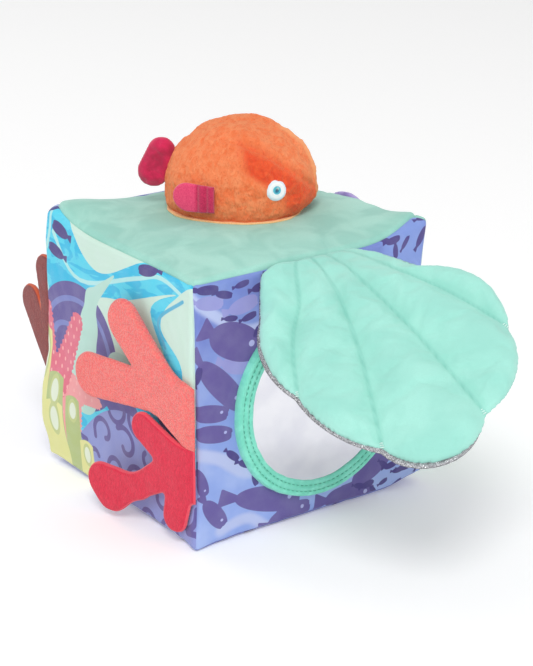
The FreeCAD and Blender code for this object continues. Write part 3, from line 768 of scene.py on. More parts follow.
def moulded(name, light, dark, roughness=0.4, metallic=0.0, grain=0.6, depth=0.03):
    """Moulded, rolled or pressed material with a fine grain and uneven wear."""
    cloth = Cloth(name, roughness, 0.0, metallic)
    fine = cloth.noise(grain, 3.0)
    wear = cloth.span(cloth.noise(grain * 12, 3.0), 0.35, 0.65)
    cloth.put(cloth.surface.inputs["Roughness"], cloth.span(fine, 0.3, 0.7, roughness * 0.8, roughness * 1.2))
    cloth.bump(fine, depth)
    return cloth.paint(cloth.mix(wear, dark, light))


def foam():
    """Open-cell foam: round pores of mixed size."""
    cloth = Cloth("open_foam", 0.95)
    pores = cloth.cells(1.6)
    cloth.bump(cloth.span(pores, 0.1, 0.6), 0.6)
    # The pores are darker: painted shade inside them.
    return cloth.paint(cloth.mix(cloth.span(pores, 0.15, 0.5), tint(206, 196, 160), tint(240, 232, 206)))


def hook_or_loop(name, light, dark, pitch):
    """Touch tape: a field of small hooks or loops on a woven strip."""
    cloth = Cloth(name, 0.85, 0.2)
    tips = cloth.cells(pitch)
    cloth.bump(cloth.span(tips, 0.0, 0.6, 1.0, 0.0), 0.5)
    # Darker between the tips: painted shade between the hooks or loops.
    return cloth.paint(cloth.mix(cloth.span(tips, 0.2, 0.6), light, dark))


def satin(name, light, dark):
    """Smooth ribbon with a fine rib across it and a soft shine."""
    cloth = Cloth(name, 0.38, 0.2)
    cloth.bump(cloth.weave(0.5), 0.04)
    streaks = cloth.span(cloth.noise(1.2, 2.0, (1, 3, 0.15)), 0.3, 0.7)
    return cloth.paint(cloth.mix(streaks, dark, light))


# ---- the stuffed cube's surface -----------------------------------------------------------------

MIDDLE = SEAM_Z / 2
CROWN = 5.2  # how far the top stands up in its middle
REEF_BULGE = 2.8  # how far the stuffing pushes the whole reef side out
# Corners lifted off the floor, and crests along the top edge: place as a share of half the width, rise, reach
LIFTS = ((1, -1, 7.0, 15.0), (-1, 1, 4.0, 22.0), (1, 1, 4.0, 22.0))
CRESTS = ((-0.86, 0.88, 6.5, 24.0), (1.0, -0.96, 8.5, 22.0), (1.0, -0.3, 5.0, 34.0), (0.9, 0.9, 3.5, 26.0))
EARS = ((0.0, 3.0, -1.9), (SEAM_Z, 2.6, 0.3))  # level, how far the corner's point stands out, and its rise


def crown_share(a, b):
    """1 in the middle of a face and 0 at its edges."""
    return (1 - np.abs(a) ** 3.2) * (1 - np.abs(b) ** 3.2)


def add_crowns(moves, sharp, out):
    """The stuffing pushes the middle of each face out, unevenly, and the reef side sags at the back."""
    wave = noise(sharp, 34.0, 3)
    ripple = noise(sharp * (1, 1, 0.6), 13.0, 5)
    y, z = sharp[..., 1], sharp[..., 2]
    a, b, c = sharp[..., 0] / HALF, y / HALF, (z - MIDDLE) / MIDDLE
    up, left, right = (np.clip(side, 0, 1) for side in (out[..., 2], -out[..., 0], out[..., 0]))
    ahead, back = np.clip(-out[..., 1], 0, 1), np.clip(out[..., 1], 0, 1)
    moves[..., 2] = up * crown_share(a, b) * (CROWN + 0.55 * wave + 0.3 * ripple)
    sag = 4.5 * bell(y - HALF, 30) * bell(z - 34, 30)
    moves[..., 0] -= left * (crown_share(b, c) * (2.4 + 1.4 * wave + 0.5 * ripple) + sag)
    moves[..., 0] += right * crown_share(b, c) * 0.6 * (1 + 0.5 * wave)
    moves[..., 1] -= ahead * crown_share(a, c) * (0.5 + 0.6 * wave + 0.3 * ripple)
    moves[..., 1] += back * np.minimum(0.0, 0.5 * wave) * crown_share(a, c)


def add_reef_bulge(moves, x, y, z):
    """The whole reef side stands further out, and its back upright edge swells."""
    moves[..., 0] -= REEF_BULGE * smooth_step(-x, 40, HALF)
    swell = bell(x + HALF, 20) * bell(y - HALF, 24) * smooth_step(z, 0, 24) * (1.5 + 2.2 * bell(z - 36, 26))
    swell *= smooth_step(SEAM_Z - z, 0, 16)
    moves[..., 0] -= 0.8 * swell
    moves[..., 1] += 1.1 * swell


def add_corners(moves, x, y, z):
    """Lifted corners below, crests along the top edge, and the pointed ends of the corner seams."""
    for side_x, side_y, rise, reach in LIFTS:
        near = bell(x - side_x * HALF, reach) * bell(y - side_y * HALF, reach)
        moves[..., 2] += rise * near * smooth_step(-z, -40, 0)
    for at_x, at_y, rise, reach in CRESTS:
        near = bell(x - at_x * HALF, reach) * bell(y - at_y * HALF, reach)
        moves[..., 2] += rise * near * smooth_step(z, SEAM_Z - 22, SEAM_Z)
    point = (np.abs(x * y) / HALF**2) ** 6
    for level, poke, rise in EARS:
        ear = point * bell(z - level, 14)
        calm = 1 - 0.8 * (x < 0) * (y > 0) * (level > 0)
        moves[..., 0] += poke * ear * np.sign(x) * calm
        moves[..., 1] += poke * ear * np.sign(y) * calm
        moves[..., 2] += rise * ear


def skin(sharp):
    """Points on the soft, stuffed cube for points on its sharp ideal box."""
    low = np.array([-HALF + EDGE, -HALF + EDGE, EDGE])
    high = np.array([HALF - EDGE, HALF - EDGE, SEAM_Z - EDGE])
    sharp = np.asarray(sharp, float)
    core = np.clip(sharp, low, high)
    out = sharp - core
    out /= np.linalg.norm(out, axis=-1, keepdims=True)
    moves = np.zeros_like(core)
    x, y, z = (sharp[..., k] for k in range(3))
    add_crowns(moves, sharp, out)
    add_reef_bulge(moves, x, y, z)
    add_corners(moves, x, y, z)
    return core + EDGE * out + moves


def pucker(edge_gap, along):
    """Inward pull of the cloth near a sewn edge: a groove on the seam and small tucks beside it."""
    groove = 1.1 * bell(edge_gap, 1.5)
    tucks = 0.55 * flat_noise(along, edge_gap * 0.3, 7.0, 9) * np.exp(-edge_gap / 7)
    return groove - tucks * smooth_step(edge_gap, 0, 3)


def top_reach(angle):
    """Distance from the plunger hole's middle to the mint panel's sewn outline, in each direction."""
    # For each corner, as signs of x and y: how far its rounding runs along x and along y.
    corners = {(-1, 1): (12, 30), (1, -1): (42, 11), (-1, -1): (9, 7), (1, 1): (24, 24)}
    low, high = np.zeros_like(angle), np.full_like(angle, HALF * 1.5)
    for _ in range(26):
        middle = (low + high) / 2
        x, y = FISH_X + middle * np.cos(angle), FISH_Y + middle * np.sin(angle)
        inside = (np.abs(x) <= HALF) & (np.abs(y) <= HALF)
        for (side_x, side_y), (round_x, round_y) in corners.items():
            over_x = np.maximum(side_x * x - (HALF - round_x), 0) / round_x
            over_y = np.maximum(side_y * y - (HALF - round_y), 0) / round_y
            inside &= over_x**2 + over_y**2 <= 1
        low, high = np.where(inside, middle, low), np.where(inside, high, middle)
    return low


def build_top(material):
    """The mint top, from the plunger hole out to its sewn outline, where the cloth turns down."""
    rings, around = 150, 520
    angle = round_circle(around)
    reach = top_reach(angle)
    # The last rings lie closer together, for the sewn edge.
    share = np.concatenate([np.linspace(0.0, 0.93, rings - 26), np.linspace(0.933, 1.0, 26)])[:, None]
    run = SHAFT_RADIUS + share * (reach - SHAFT_RADIUS)
    x, y = FISH_X + run * np.cos(angle), FISH_Y + run * np.sin(angle)
    sharp = np.stack([x, y, np.full_like(x, SEAM_Z)], -1)
    soft = skin(sharp)
    gap = reach - run
    lift = 0.75 * smooth_step(gap, 0.0, 1.6) - pucker(gap, angle * HALF) - 0.5 * (gap < 0.01)
    folds = 0.35 * noise(sharp, 21.0, 12) * smooth_step(gap, 2, 14)
    soft[..., 2] += lift + folds
    soft[0, :, 2] -= 1.2
    faces = grid_faces(rings, around, True)
    make_piece("top_panel_mint", soft, faces, material, None, "cube", ["top_panel"])


def side_grid(outward, across, cell):
    """Grid of one side panel. u runs along across, v runs up and then onto the top."""
    v = np.concatenate([np.arange(0, SEAM_Z, cell), SEAM_Z + np.arange(0, WRAP + cell, cell)])
    s = np.linspace(-1, 1, int(2 * HALF / cell) + 1)
    over = np.maximum(v - SEAM_Z, 0)
    u = s[None, :] * (HALF - over)[:, None]
    v = np.repeat(v[:, None], len(s), axis=1)
    over = np.repeat(over[:, None], len(s), axis=1)
    up = np.minimum(v, SEAM_Z)
    flat = u[..., None] * np.array(across) + (HALF - over)[..., None] * np.array(outward)
    flat[..., 2] = up
    return u, v, flat


def surface_normals(points):
    """Outward directions of a grid of points, taken from its neighbours."""
    down, side = np.gradient(points, axis=0), np.gradient(points, axis=1)
    normal = np.cross(side, down)
    return normal / np.maximum(np.linalg.norm(normal, axis=-1, keepdims=True), 1e-9)


def build_side(name, node, outward, across, material, cell, paint=None, hole=None):
    """One upright panel. Paint gives its print fields, and hole says where it is cut away."""
    u, v, sharp = side_grid(outward, across, cell)
    soft = skin(sharp)
    normal = surface_normals(soft)
    middle = np.array([0, 0, MIDDLE])
    flip = ((soft - middle) * normal).sum() < 0
    if flip:
        normal = -normal
    over = np.maximum(v - SEAM_Z, 0)
    gap = np.minimum(HALF - over - np.abs(u), v)
    soft = soft - normal * pucker(gap, u + v)[..., None]
    from_x, from_y = sharp[..., 0] - FISH_X, sharp[..., 1] - FISH_Y
    covered = top_reach(np.arctan2(from_y, from_x)) - np.hypot(from_x, from_y)
    # Where the mint top covers it, the side's cloth lies lower.
    soft[..., 2] -= 2.2 * smooth_step(covered, -0.6, 2.0) * (v >= SEAM_Z - 0.1)
    faces = grid_faces(*u.shape)
    if hole is not None:
        cut = hole(u, v).ravel()
        faces = faces[~cut[faces].all(axis=1)]
    if flip:
        faces = faces[:, ::-1]
    make_piece(name, soft, faces, material, paint(u, v) if paint else None, "cube", [node])


# ---- printed patterns ---------------------------------------------------------------------------

# Each fish is (tail u, tail v, nose u, nose v, height), in millimetres on its face.
BIG_FISH = [(-70, 124, -38, 106, 20), (-76, 112, -48, 76, 13), (-60, 26, -10, 12, 15), (22, 8, 54, 26, 14)]
GHOST_FISH = [(-76, 140, -58, 136, 8), (-58, 130, -38, 134, 9), (-62, 104, -42, 98, 11)]


def stream(points, count, length, swing=3.0, lean=20.0):
    """Fish that swim one behind the other along a smooth line, each a little off it and out of line."""
    path = curve(points, closed=False, steps=12)
    travel = travelled(path)
    fish = []
    for i in range(count):
        at = travel[-1] * (i + 0.5) / count
        spot, after = (np.array([np.interp(d, travel, path[:, k]) for k in (0, 1)]) for d in (at, at + 1))
        heading = math.atan2(after[1] - spot[1], after[0] - spot[0])
        heading += math.radians(lean * math.sin(i * 2.3))
        run = np.array([math.cos(heading), math.sin(heading)])
        size = length * (1 + 0.2 * math.sin(i * 1.7))
        middle = spot + swing * math.sin(i * 2.9) * np.array([-run[1], run[0]])
        fish.append((*(middle - run * size / 2), *(middle + run * size / 2), size * 0.38))
    return fish


MIDDLE_FISH = (
    [(-82, 80, -56, 74, 10), (-80, 68, -54, 62, 10)]
    + stream([(-76, 50), (-62, 10)], 2, 20, 2, 20)
    + stream([(-40, 0), (2, 6), (42, 0)], 2, 34, 2, 6)
    + stream([(58, 66), (72, 84), (66, 112), (74, 132)], 4, 16, 4, 40)
)
SMALL_FISH = (
    stream([(-82, 150), (-56, 142), (-22, 144)], 6, 12, 3, 12)
    + stream([(-60, 128), (-40, 122), (-34, 104), (-44, 92)], 5, 9, 4, 50)
    + stream([(-80, 90), (-70, 100)], 2, 10, 2, 40)
    + stream([(-58, 54), (-44, 40), (-34, 30), (-12, 26)], 5, 11, 3, 30)
    + stream([(28, 10), (52, 4), (76, 12)], 8, 9, 4, 40)
    + stream([(46, 20), (58, 12), (66, 26), (72, 50)], 9, 9, 5, 50)
    + stream([(62, 54), (74, 72), (64, 96), (72, 116)], 8, 8, 5, 50)
    + stream([(44, 152), (60, 140), (74, 150)], 6, 9, 4, 50)
)


def shoal(u, v, fish):
    """Depth inside any of the fish."""
    return union(*[printed_fish(u, v, f[:2], f[2:4], f[4]) for f in fish])


def eyes(u, v, fish):
    """A small round eye near each nose."""
    spots = []
    for tail_u, tail_v, nose_u, nose_v, height in fish:
        length = math.hypot(nose_u - tail_u, nose_v - tail_v)
        run_u, run_v = (nose_u - tail_u) / length, (nose_v - tail_v) / length
        back = 0.14 * length
        above, radius = 0.1 * height, 0.09 * height
        centre = (nose_u - run_u * back - run_v * above, nose_v - run_v * back + run_u * above)
        spots.append(oval(u, v, centre, radius, radius))
    return union(*spots)


def front_fields(u, v):
    """The shoal scene. u is x on the face and v is the height."""
    swirls = union(
        band(u, v, [(-84, 58), (-62, 50), (-46, 38), (-28, 36)], 7.0),
        band(u, v, [(-60, 8), (-44, 10), (-30, 0), (-12, -6)], 6.0),
        band(u, v, [(-84, 150), (-60, 128), (-44, 118), (-26, 120)], 6.0),
        band(u, v, [(40, 32), (56, 34), (72, 26), (84, 28)], 5.0),
    )
    return {
        "swirl": swirls,
        "ghost": shoal(u, v, GHOST_FISH),
        "big": union(shoal(u, v, BIG_FISH), shoal(u, v, MIDDLE_FISH)),
        "small": shoal(u, v, SMALL_FISH),
        "eye": eyes(u, v, BIG_FISH + MIDDLE_FISH),
    }


def deep_sea_fields(u, v):
    """Scattered fish and bubbles for the faces that hide from the front."""
    fish = []
    for row in range(8):
        for column in range(7):
            turned = math.radians(40 * math.sin(row * 2.1 + column * 1.3) + 180 * ((row * 3 + column) % 2))
            at_u = -72 + column * 24 + 9 * math.sin(row * 1.7 + column)
            at_v = 8 + row * 21 + 7 * math.cos(column * 2.3 + row)
            size = 5.0 + 3.2 * math.sin(row * 5 + column * 3)
            du, dv = math.cos(turned) * size, math.sin(turned) * size
            fish.append((at_u - du, at_v - dv, at_u + du, at_v + dv, size * 0.75))
    bubbles = union(*[
        oval(u, v, (66 * math.sin(i * 2.4), 75 + 70 * math.cos(i * 1.9)), 1.2 + i % 3, 1.2 + i % 3)
        for i in range(26)
    ])
    swirls = union(*[
        band(u, v, [(-84, 20 + 42 * i), (-30, 34 + 42 * i), (20, 16 + 42 * i), (84, 30 + 42 * i)], 6.0)
        for i in range(4)
    ])
    return {"swirl": swirls, "ghost": bubbles, "small": shoal(u, v, fish), "eye": eyes(u, v, fish)}


def curls(u, v):
    """The brain coral's winding grooves: hooks in staggered rows, each turned from its neighbour."""
    sweep = np.linspace(0, 4.8, 9)
    radius = 11.0 - 1.6 * sweep
    lines = []
    for row in range(4):
        for column in range(8):
            centre = np.array([36 - 22 * column + 10 * (row % 2), 19 * row])
            angle = 0.7 + 1.9 * row + 1.3 * column + sweep
            hook = centre + radius[:, None] * np.stack([np.cos(angle), np.sin(angle)], -1)
            lines.append(band(u, v, hook, 3.2))
    return union(*lines)


def sponge_tubes(u, v, tubes):
    """Upright tubes with bellied sides, each given by its middle, height and half width."""
    return union(*[
        np.minimum(wide * (1 + 0.12 * np.cos(v / high * math.pi)) - np.abs(u - at),
                   high - v - 0.35 * (u - at) ** 2 / wide)
        for at, high, wide in tubes
    ])


FAR_TUBES = ((60, 60, 7.5), (45, 50, 6.5))
NEAR_TUBES = ((72, 84, 5.5), (60, 43, 7.5), (80, 37, 8.5), (34, 26, 7.0))


def reef_fields(u, v):
    """The reef scene. u is y on the face and v is the height."""
    flow = union(
        band(u, v, [(64, 140), (36, 122), (-20, 138), (-46, 145), (-76, 138)], 2.4),
        band(u, v, [(70, 156), (68, 138), (76, 122), (70, 106)], 2.2),
    )
    hills = union(
        depth_in(u, v, curve([(50, 160), (40, 142), (18, 132), (-8, 140), (-40, 162)])),
        depth_in(u, v, curve([(20, 112), (-16, 125), (-60, 140), (-36, 124),
                              (-62, 84), (-46, 70), (-10, 70)])),
        depth_in(u, v, curve([(-84, 146), (-56, 135), (-46, 118), (-64, 102), (-66, 80), (-84, 70)])),
    )
    swirl_line = union(
        band(u, v, [(-66, 138), (-44, 122), (-50, 108)], 2.0),
        band(u, v, [(-38, 104), (-58, 90), (-64, 70)], 5.0),
    )
    big_rock = oval(u, v, (39, 82), 42, 37)
    rock = union(big_rock, oval(u, v, (-54, 77), 15, 19), oval(u, v, (-6, 60), 17, 9))
    arcs = union(ring(u, v, (39, 82), 34, 27, 3.2), ring(u, v, (50, 82), 15, 10, 3.0))
    arcs = np.minimum(arcs, v - 83)
    weed = union(
        merged(u, v, [((0, 134), (24, 114), 0.6, 5.5), ((24, 114), (27, 98), 5.5, 8.5),
                      ((27, 98), (34, 58), 8.5, 15)], 5.0),
        oval(u, v, (-8, 83), 15, 9),
    )
    teeth = 1.1 * np.sin(v * 1.9) + 0.6 * np.sin(u * 2.6)
    pink = teeth * 0.5 + merged(u, v, [((68, 46), (71, 96), 9, 4), ((60, 54), (40, 96), 10, 6)], 3.0)
    pale_pink = teeth * 0.4 + merged(u, v, [((50, 30), (46, 54), 12, 10), ((46, 54), (18, 54), 8, 3)], 3.0)
    dots = union(*[
        oval(u, v, (a * 6.2 + (b % 2) * 3.1 - 6, b * 5.4), 0.75, 1.3)
        for a in range(5, 14) for b in range(6, 19)
    ])
    maze = 58 - np.where(u > -12, 0.011, 0.003) * (u + 12) ** 2 - v
    far_tubes, near_tubes = sponge_tubes(u, v, FAR_TUBES), sponge_tubes(u, v, NEAR_TUBES)
    mouths = union(*[
        oval(u, v, (at, high - 4 - long), 0.4 * wide, long)
        for (at, high, wide), long in zip(NEAR_TUBES + FAR_TUBES, (11, 8, 8, 5, 7, 5))
    ])
    fish = shoal(u, v, [(46, 141, 65, 143, 6), (50, 130, 68, 133, 6), (-45, 149, -24, 144, 7)])
    return {
        "flow": flow, "hill": hills, "swirl": swirl_line, "fish": fish, "rock": rock,
        "arc_room": np.minimum(arcs, rock), "weed": weed, "palepink": pale_pink, "pink": pink,
        "dots": np.minimum(dots, union(pink, pale_pink) - 1.0),
        "maze": maze, "paths": np.minimum(curls(u, v), maze), "tubes": far_tubes, "neartubes": near_tubes,
        "mouths": mouths, "mouthrims": mouths + 1.2, "corner": (u - 66) * 0.7 + (v - 151.5),
    }


def shoal_base(cloth):
    """Periwinkle water, deeper in colour towards the top."""
    rise = cloth.nodes.new("ShaderNodeSeparateXYZ")
    cloth.put(rise.inputs[0], cloth.millimetres)
    deep = cloth.span(rise.outputs[2], 40.0, 130.0)
    haze = cloth.span(cloth.noise(30.0, 3.0), 0.35, 0.65)
    low = cloth.mix(haze, tint(138, 164, 228), tint(162, 184, 236))
    high = cloth.mix(haze, tint(112, 130, 204), tint(130, 154, 220))
    return cloth.mix(deep, low, high)


def deep_base(cloth):
    """Hazy indigo water."""
    haze = cloth.span(cloth.noise(34.0, 3.0), 0.35, 0.65)
    return cloth.mix(haze, tint(96, 104, 178), tint(124, 138, 206))


def reef_base(cloth):
    """Streaked turquoise water."""
    streaks = cloth.span(cloth.noise(20.0, 2.0, (1, 0.5, 1.6), 2.0), 0.47, 0.53)
    return cloth.mix(streaks, tint(44, 190, 230), tint(82, 212, 238))


def shoal_layers():
    return [
        ("swirl", tint(182, 194, 234), 1.6), ("ghost", tint(150, 152, 214), 0.3),
        ("big", tint(98, 86, 154), 0.15), ("small", tint(70, 58, 130), 0.15),
        ("eye", tint(176, 180, 228), 0.1),
    ]


def reef_layers():
    pale, purple = tint(204, 232, 218), tint(98, 88, 154)
    return [
        ("flow", tint(178, 232, 232), 0.3), ("hill", pale, 0.15), ("swirl", tint(84, 180, 214), 0.3),
        ("fish", tint(74, 62, 130), 0.15), ("rock", purple, 0.15), ("arc_room", tint(122, 132, 196), 0.15),
        ("weed", tint(184, 224, 212), 0.15),
        ("palepink", tint(240, 158, 160), 0.15), ("pink", tint(226, 112, 134), 0.15),
        ("dots", tint(246, 178, 176), 0.12), ("maze", tint(142, 152, 212), 0.15), ("paths", purple, 0.15),
        ("tubes", tint(180, 196, 130), 0.15), ("neartubes", tint(226, 226, 152), 0.15),
        ("mouthrims", tint(196, 206, 140), 0.15), ("mouths", tint(226, 236, 214), 0.15),
        ("corner", tint(66, 66, 134), 0.2),
    ]


def build_panels():
    """All six cloth faces. Gives back the mint cloth and the deep sea print for other pieces."""
    shoal_cloth = printed("shoal_cloth", shoal_base, shoal_layers(), 0.04)
    reef_cloth = printed("reef_cloth", reef_base, reef_layers(), 0.05)
    deep_layers = [layer for layer in shoal_layers() if layer[0] != "big"]
    deep_cloth = printed("deep_sea_cloth", deep_base, deep_layers, 0.04)
    mint = velour("mint_velour", tint(170, 223, 209), tint(146, 205, 191), 20.0, 0.25)
    build_side(
        "front_panel_shoal", "front_panel", (0, -1, 0), (1, 0, 0), shoal_cloth,
        CELL, front_fields,
    )
    build_side(
        "reef_panel_print", "reef_panel", (-1, 0, 0), (0, 1, 0), reef_cloth,
        CELL, reef_fields,
    )
    build_side("right_panel_mint", "right_panel", (1, 0, 0), (0, -1, 0), mint, PLAIN_CELL)
    low, high = box_mm("access_flap")
    left, end = low[0] + 5.5, high[0] - 5.5
    bottom, lid = low[2] + 16.0, high[2] - 2.0

    def opening(u, v):
        return (-u > left) & (-u < end) & (v > bottom) & (v < lid)

    build_side(
        "back_panel_print", "back_panel", (0, 1, 0), (-1, 0, 0), deep_cloth,
        BACK_CELL, deep_sea_fields, opening,
    )
    build_opening_hem(left, end, bottom, lid, deep_cloth)
    build_bottom(deep_cloth)
    build_top(mint)
    return mint, deep_cloth


def build_opening_hem(left, right, bottom, top, material):
    """The turned and stitched hem round the access opening in the back panel."""
    path = np.array(
        [(x, 0, bottom) for x in np.linspace(left, right, 60)]
        + [(right, 0, z) for z in np.linspace(bottom, top, 30)[1:]]
        + [(x, 0, top) for x in np.linspace(right, left, 60)[1:]]
        + [(left, 0, z) for z in np.linspace(top, bottom, 30)[1:-1]]
    )
    centre = np.array([(left + right) / 2, 0, (bottom + top) / 2])
    outward = path - centre
    reach = np.abs(outward) / np.array([(right - left) / 2, 1, (top - bottom) / 2])
    outward = np.where(reach >= reach.max(axis=1, keepdims=True) - 0.02, np.sign(outward), 0.0)
    across = np.array([(-1.0, 0.0), (0.0, 0.55), (1.6, 0.7), (3.4, 0.55), (4.0, 0.0),
                       (3.4, -0.6), (0.0, -0.9)])
    ring = path[:, None] + outward[:, None] * across[None, :, :1]
    ring[..., 1] = HALF - 0.6 + across[None, :, 1]
    faces = ring_faces(len(path), len(across))
    fields = deep_sea_fields(ring[..., 0], ring[..., 2])
    make_piece("access_opening_hem", ring, faces, material, fields, "cube")


def build_bottom(material):
    """The flat base, with a drawn-in seam all round."""
    count = 130
    side = np.linspace(-HALF, HALF, count)
    x, y = np.meshgrid(side, side)
    sharp = np.stack([x, y, np.zeros_like(x)], -1)
    soft = skin(sharp)
    gap = HALF - np.maximum(np.abs(x), np.abs(y))
    soft[..., 2] += np.maximum(pucker(gap, x + y), 0) * (gap < 12)
    faces = grid_faces(count, count)[:, ::-1]
    fields = deep_sea_fields(x, y + MIDDLE)
    nodes = ["bottom_panel"]
    make_piece("bottom_panel_print", soft, faces, material, fields, "cube", nodes)


# ---- foam core ----------------------------------------------------------------------------------


def prism(path, low, high):
    """A closed block with an upright wall along path."""
    count = len(path)
    points = [(x, y, z) for z in (low, high) for x, y in path]
    faces = [(i, (i + 1) % count, count + (i + 1) % count, count + i) for i in range(count)]
    return points, faces + [tuple(range(count))[::-1], tuple(range(count, 2 * count))]


def carve(piece, points, faces):
    """Cuts a closed block out of a piece."""
    cutter = make_piece("cutter", points, faces, piece.data.materials[0])
    cut = piece.modifiers.new("cut", "BOOLEAN")
    cut.operation, cut.solver, cut.object = "DIFFERENCE", "EXACT", cutter
    apply_modifier(piece, cut)
    bpy.data.objects.remove(cutter)


def build_foam(material):
    """The foam block just inside the panels, with a pocket for the sound module open at the back."""
    inset, columns = 2.8, 160
    share = np.linspace(0.03, 1, 24)
    rise = np.linspace(0, 1, 40)[1:-1]
    spread = np.concatenate([share, np.ones(len(rise)), share[::-1]])[:, None]
    height = np.concatenate([np.zeros(24), rise, np.ones(24)])[:, None] * SEAM_Z
    angle = round_circle(columns)
    reach = HALF / np.maximum(np.abs(np.cos(angle)), np.abs(np.sin(angle)))
    x, y = spread * reach * np.cos(angle), spread * reach * np.sin(angle)
    sharp = np.stack([x, y, np.broadcast_to(height, x.shape)], -1)
    middle = np.array([0, 0, MIDDLE])
    scale = 1 - inset / np.array([HALF, HALF, MIDDLE])
    points = middle + (skin(sharp) - middle) * scale
    rows = len(spread)
    ends = [points[0].mean(0), points[-1].mean(0)]
    faces = as_tuples(grid_faces(rows, columns, True))
    last = (rows - 1) * columns
    faces += fan_faces(0, columns, rows * columns, outwards=False)
    faces += fan_faces(last, columns, rows * columns + 1)
    points = np.concatenate([points.reshape(-1, 3), ends])
    block = make_piece("foam_block", points, faces, material)
    low, high = box_mm("sound_case_lower")
    case_x, case_y, wide = (low[0] + high[0]) / 2, (low[1] + high[1]) / 2, (high[0] - low[0]) / 2 + 0.7
    outline = arc((case_x - wide, case_y), (case_x, case_y - wide), (case_x + wide, case_y), 40)
    outline += [(case_x + wide, case_y), (case_x + wide, HALF + 9), (case_x - wide, HALF + 9)]
    carve(block, *prism(outline, low[2] - 0.3, POCKET_TOP))
    shaft = [(case_x + SHAFT_RADIUS * math.cos(t), case_y + SHAFT_RADIUS * math.sin(t)) for t in angle[::4]]
    carve(block, *prism(shaft, POCKET_TOP - 1, TOP + 9))
    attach(block, "cube")
    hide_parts("foam_core")


# ---- mirror -------------------------------------------------------------------------------------

STITCH_INSETS = (3.3, 6.7)  # rows of thread on the ring, in from its outer edge
RING_WIDTH = 9.5


def build_mirror(mint_binding, film):
    """The bound ring round the mirror: a stuffed section with two stitched channels, swept in a circle."""
    low, high = box_mm("mirror_bezel")
    centre_x, centre_z = (low[0] + high[0]) / 2, (low[2] + high[2]) / 2
    outer = (high[0] - low[0]) / 2
    window = outer - RING_WIDTH
    wall, face = -HALF + 0.6, low[1]
    section = curve([
        (outer - 0.4, wall), (outer + 0.2, wall - 2.2), (outer - 0.8, face + 0.5), (outer - 2.6, face + 0.1),
        (outer - 3.3, face + 0.5), (outer - 4.4, face), (outer - 5.6, face - 0.05), (outer - 6.7, face + 0.5),
        (outer - 7.6, face + 0.1), (window + 0.4, face + 0.3), (window - 0.1, face + 1.3),
        (window + 1.5, face + 2.6), (outer - 4, wall + 0.4)], steps=5)
    around = 420
    angle = round_circle(around)
    radius = np.repeat(section[None, :, 0], around, axis=0)
    depth = np.repeat(section[None, :, 1], around, axis=0)
    spots = np.stack([np.cos(angle) * outer, np.sin(angle) * outer, np.zeros(around)], -1)
    tuck = 0.22 * noise(spots, 3.4, 4)[:, None] + 0.5 * noise(spots, 22.0, 6)[:, None]
    radius = radius + tuck * 0.7
    depth = depth + tuck * 0.35 * (depth < wall - 1)
    points = np.stack([centre_x + radius * np.cos(angle)[:, None], depth,
                       centre_z + radius * np.sin(angle)[:, None]], -1)
    faces = ring_faces(around, len(section))
    make_piece(
        "mirror_bezel_binding", points, faces, mint_binding, None, "cube", ["mirror_bezel"]
    )
    thread = felt("binding_thread", tint(88, 190, 164), tint(66, 166, 142))
    turned = np.linspace(0, 2 * math.pi, 900)
    outward = np.tile([0.0, -1.0, 0.0], (len(turned), 1))
    rows = []
    for inset in STITCH_INSETS:
        row = outer - inset
        path = np.stack([centre_x + row * np.cos(turned), np.full_like(turned, face + 0.35),
                         centre_z + row * np.sin(turned)], -1)
        rows.append(stitches(path, outward, 2.0, 1.1, 0.22))
    points, faces = join_parts(rows)
    make_piece("mirror_bezel_stitches", points, faces, thread, None, "cube")
    build_mirror_sheet(centre_x, centre_z, film)


def build_mirror_sheet(centre_x, centre_z, film):
    """The mirror's face: a thin disc, very slightly domed and wavy."""
    low, high = box_mm("mirror_sheet")
    radius, front, back = (high[0] - low[0]) / 2, low[1], high[1]
    rings, around = 60, 160
    share = np.linspace(0, 1, rings)[1:, None]
    angle = round_circle(around)[None, :]
    x, z = radius * share * np.cos(angle), radius * share * np.sin(angle)
    y = front + 0.35 * share**2 + 0.05 * flat_noise(x, z, 24.0, 2)
    face = np.stack([x + centre_x, y, z + centre_z], -1).reshape(-1, 3)
    rim = face[-around:].copy()
    rim[:, 1] = back
    points = np.concatenate([face, rim, [(centre_x, front, centre_z)], [(centre_x, back, centre_z)]])
    faces = as_tuples(grid_faces(rings, around, True))
    tip, rear = len(points) - 2, len(points) - 1
    faces += fan_faces(0, around, tip, outwards=False)
    faces += fan_faces((rings - 1) * around, around, rear)
    make_piece("mirror_sheet_film", points, faces, film, None, "cube", ["mirror_sheet"])


# ---- clam-shell flap ----------------------------------------------------------------------------

SHELL_X = 7.0  # middle of the flap across the front
SHELL_MID_Y = -81.7  # seam plane between cover and lining, with the flap hanging shut
SHELL_HEAD = 147.0  # height of the flap's sewn edge, hanging shut
SHELL_FREE = 122.0  # below this the flap follows its own body fully
SHELL_PUFF = 7.5  # height of the padding between its seams
NOTCHES = ((-52, 68), (-24, 22), (29, 22), (60, 68))  # where the lobes meet, on the flap hanging shut
SEAM_BOWS = (-6.0, 3.0, 2.0, 4.0)  # how far each quilting seam bows to the right of straight


def quilt_seam(number):
    """A quilting seam, from the sewn edge to the notch between two lobes."""
    start, end = np.array([-18.0 + 8 * number, SHELL_HEAD]), np.array(NOTCHES[number], float)
    return [start, (start + end) / 2 + (SEAM_BOWS[number], 0), end]


SHELL_SEAMS = [quilt_seam(number) for number in range(len(NOTCHES))]


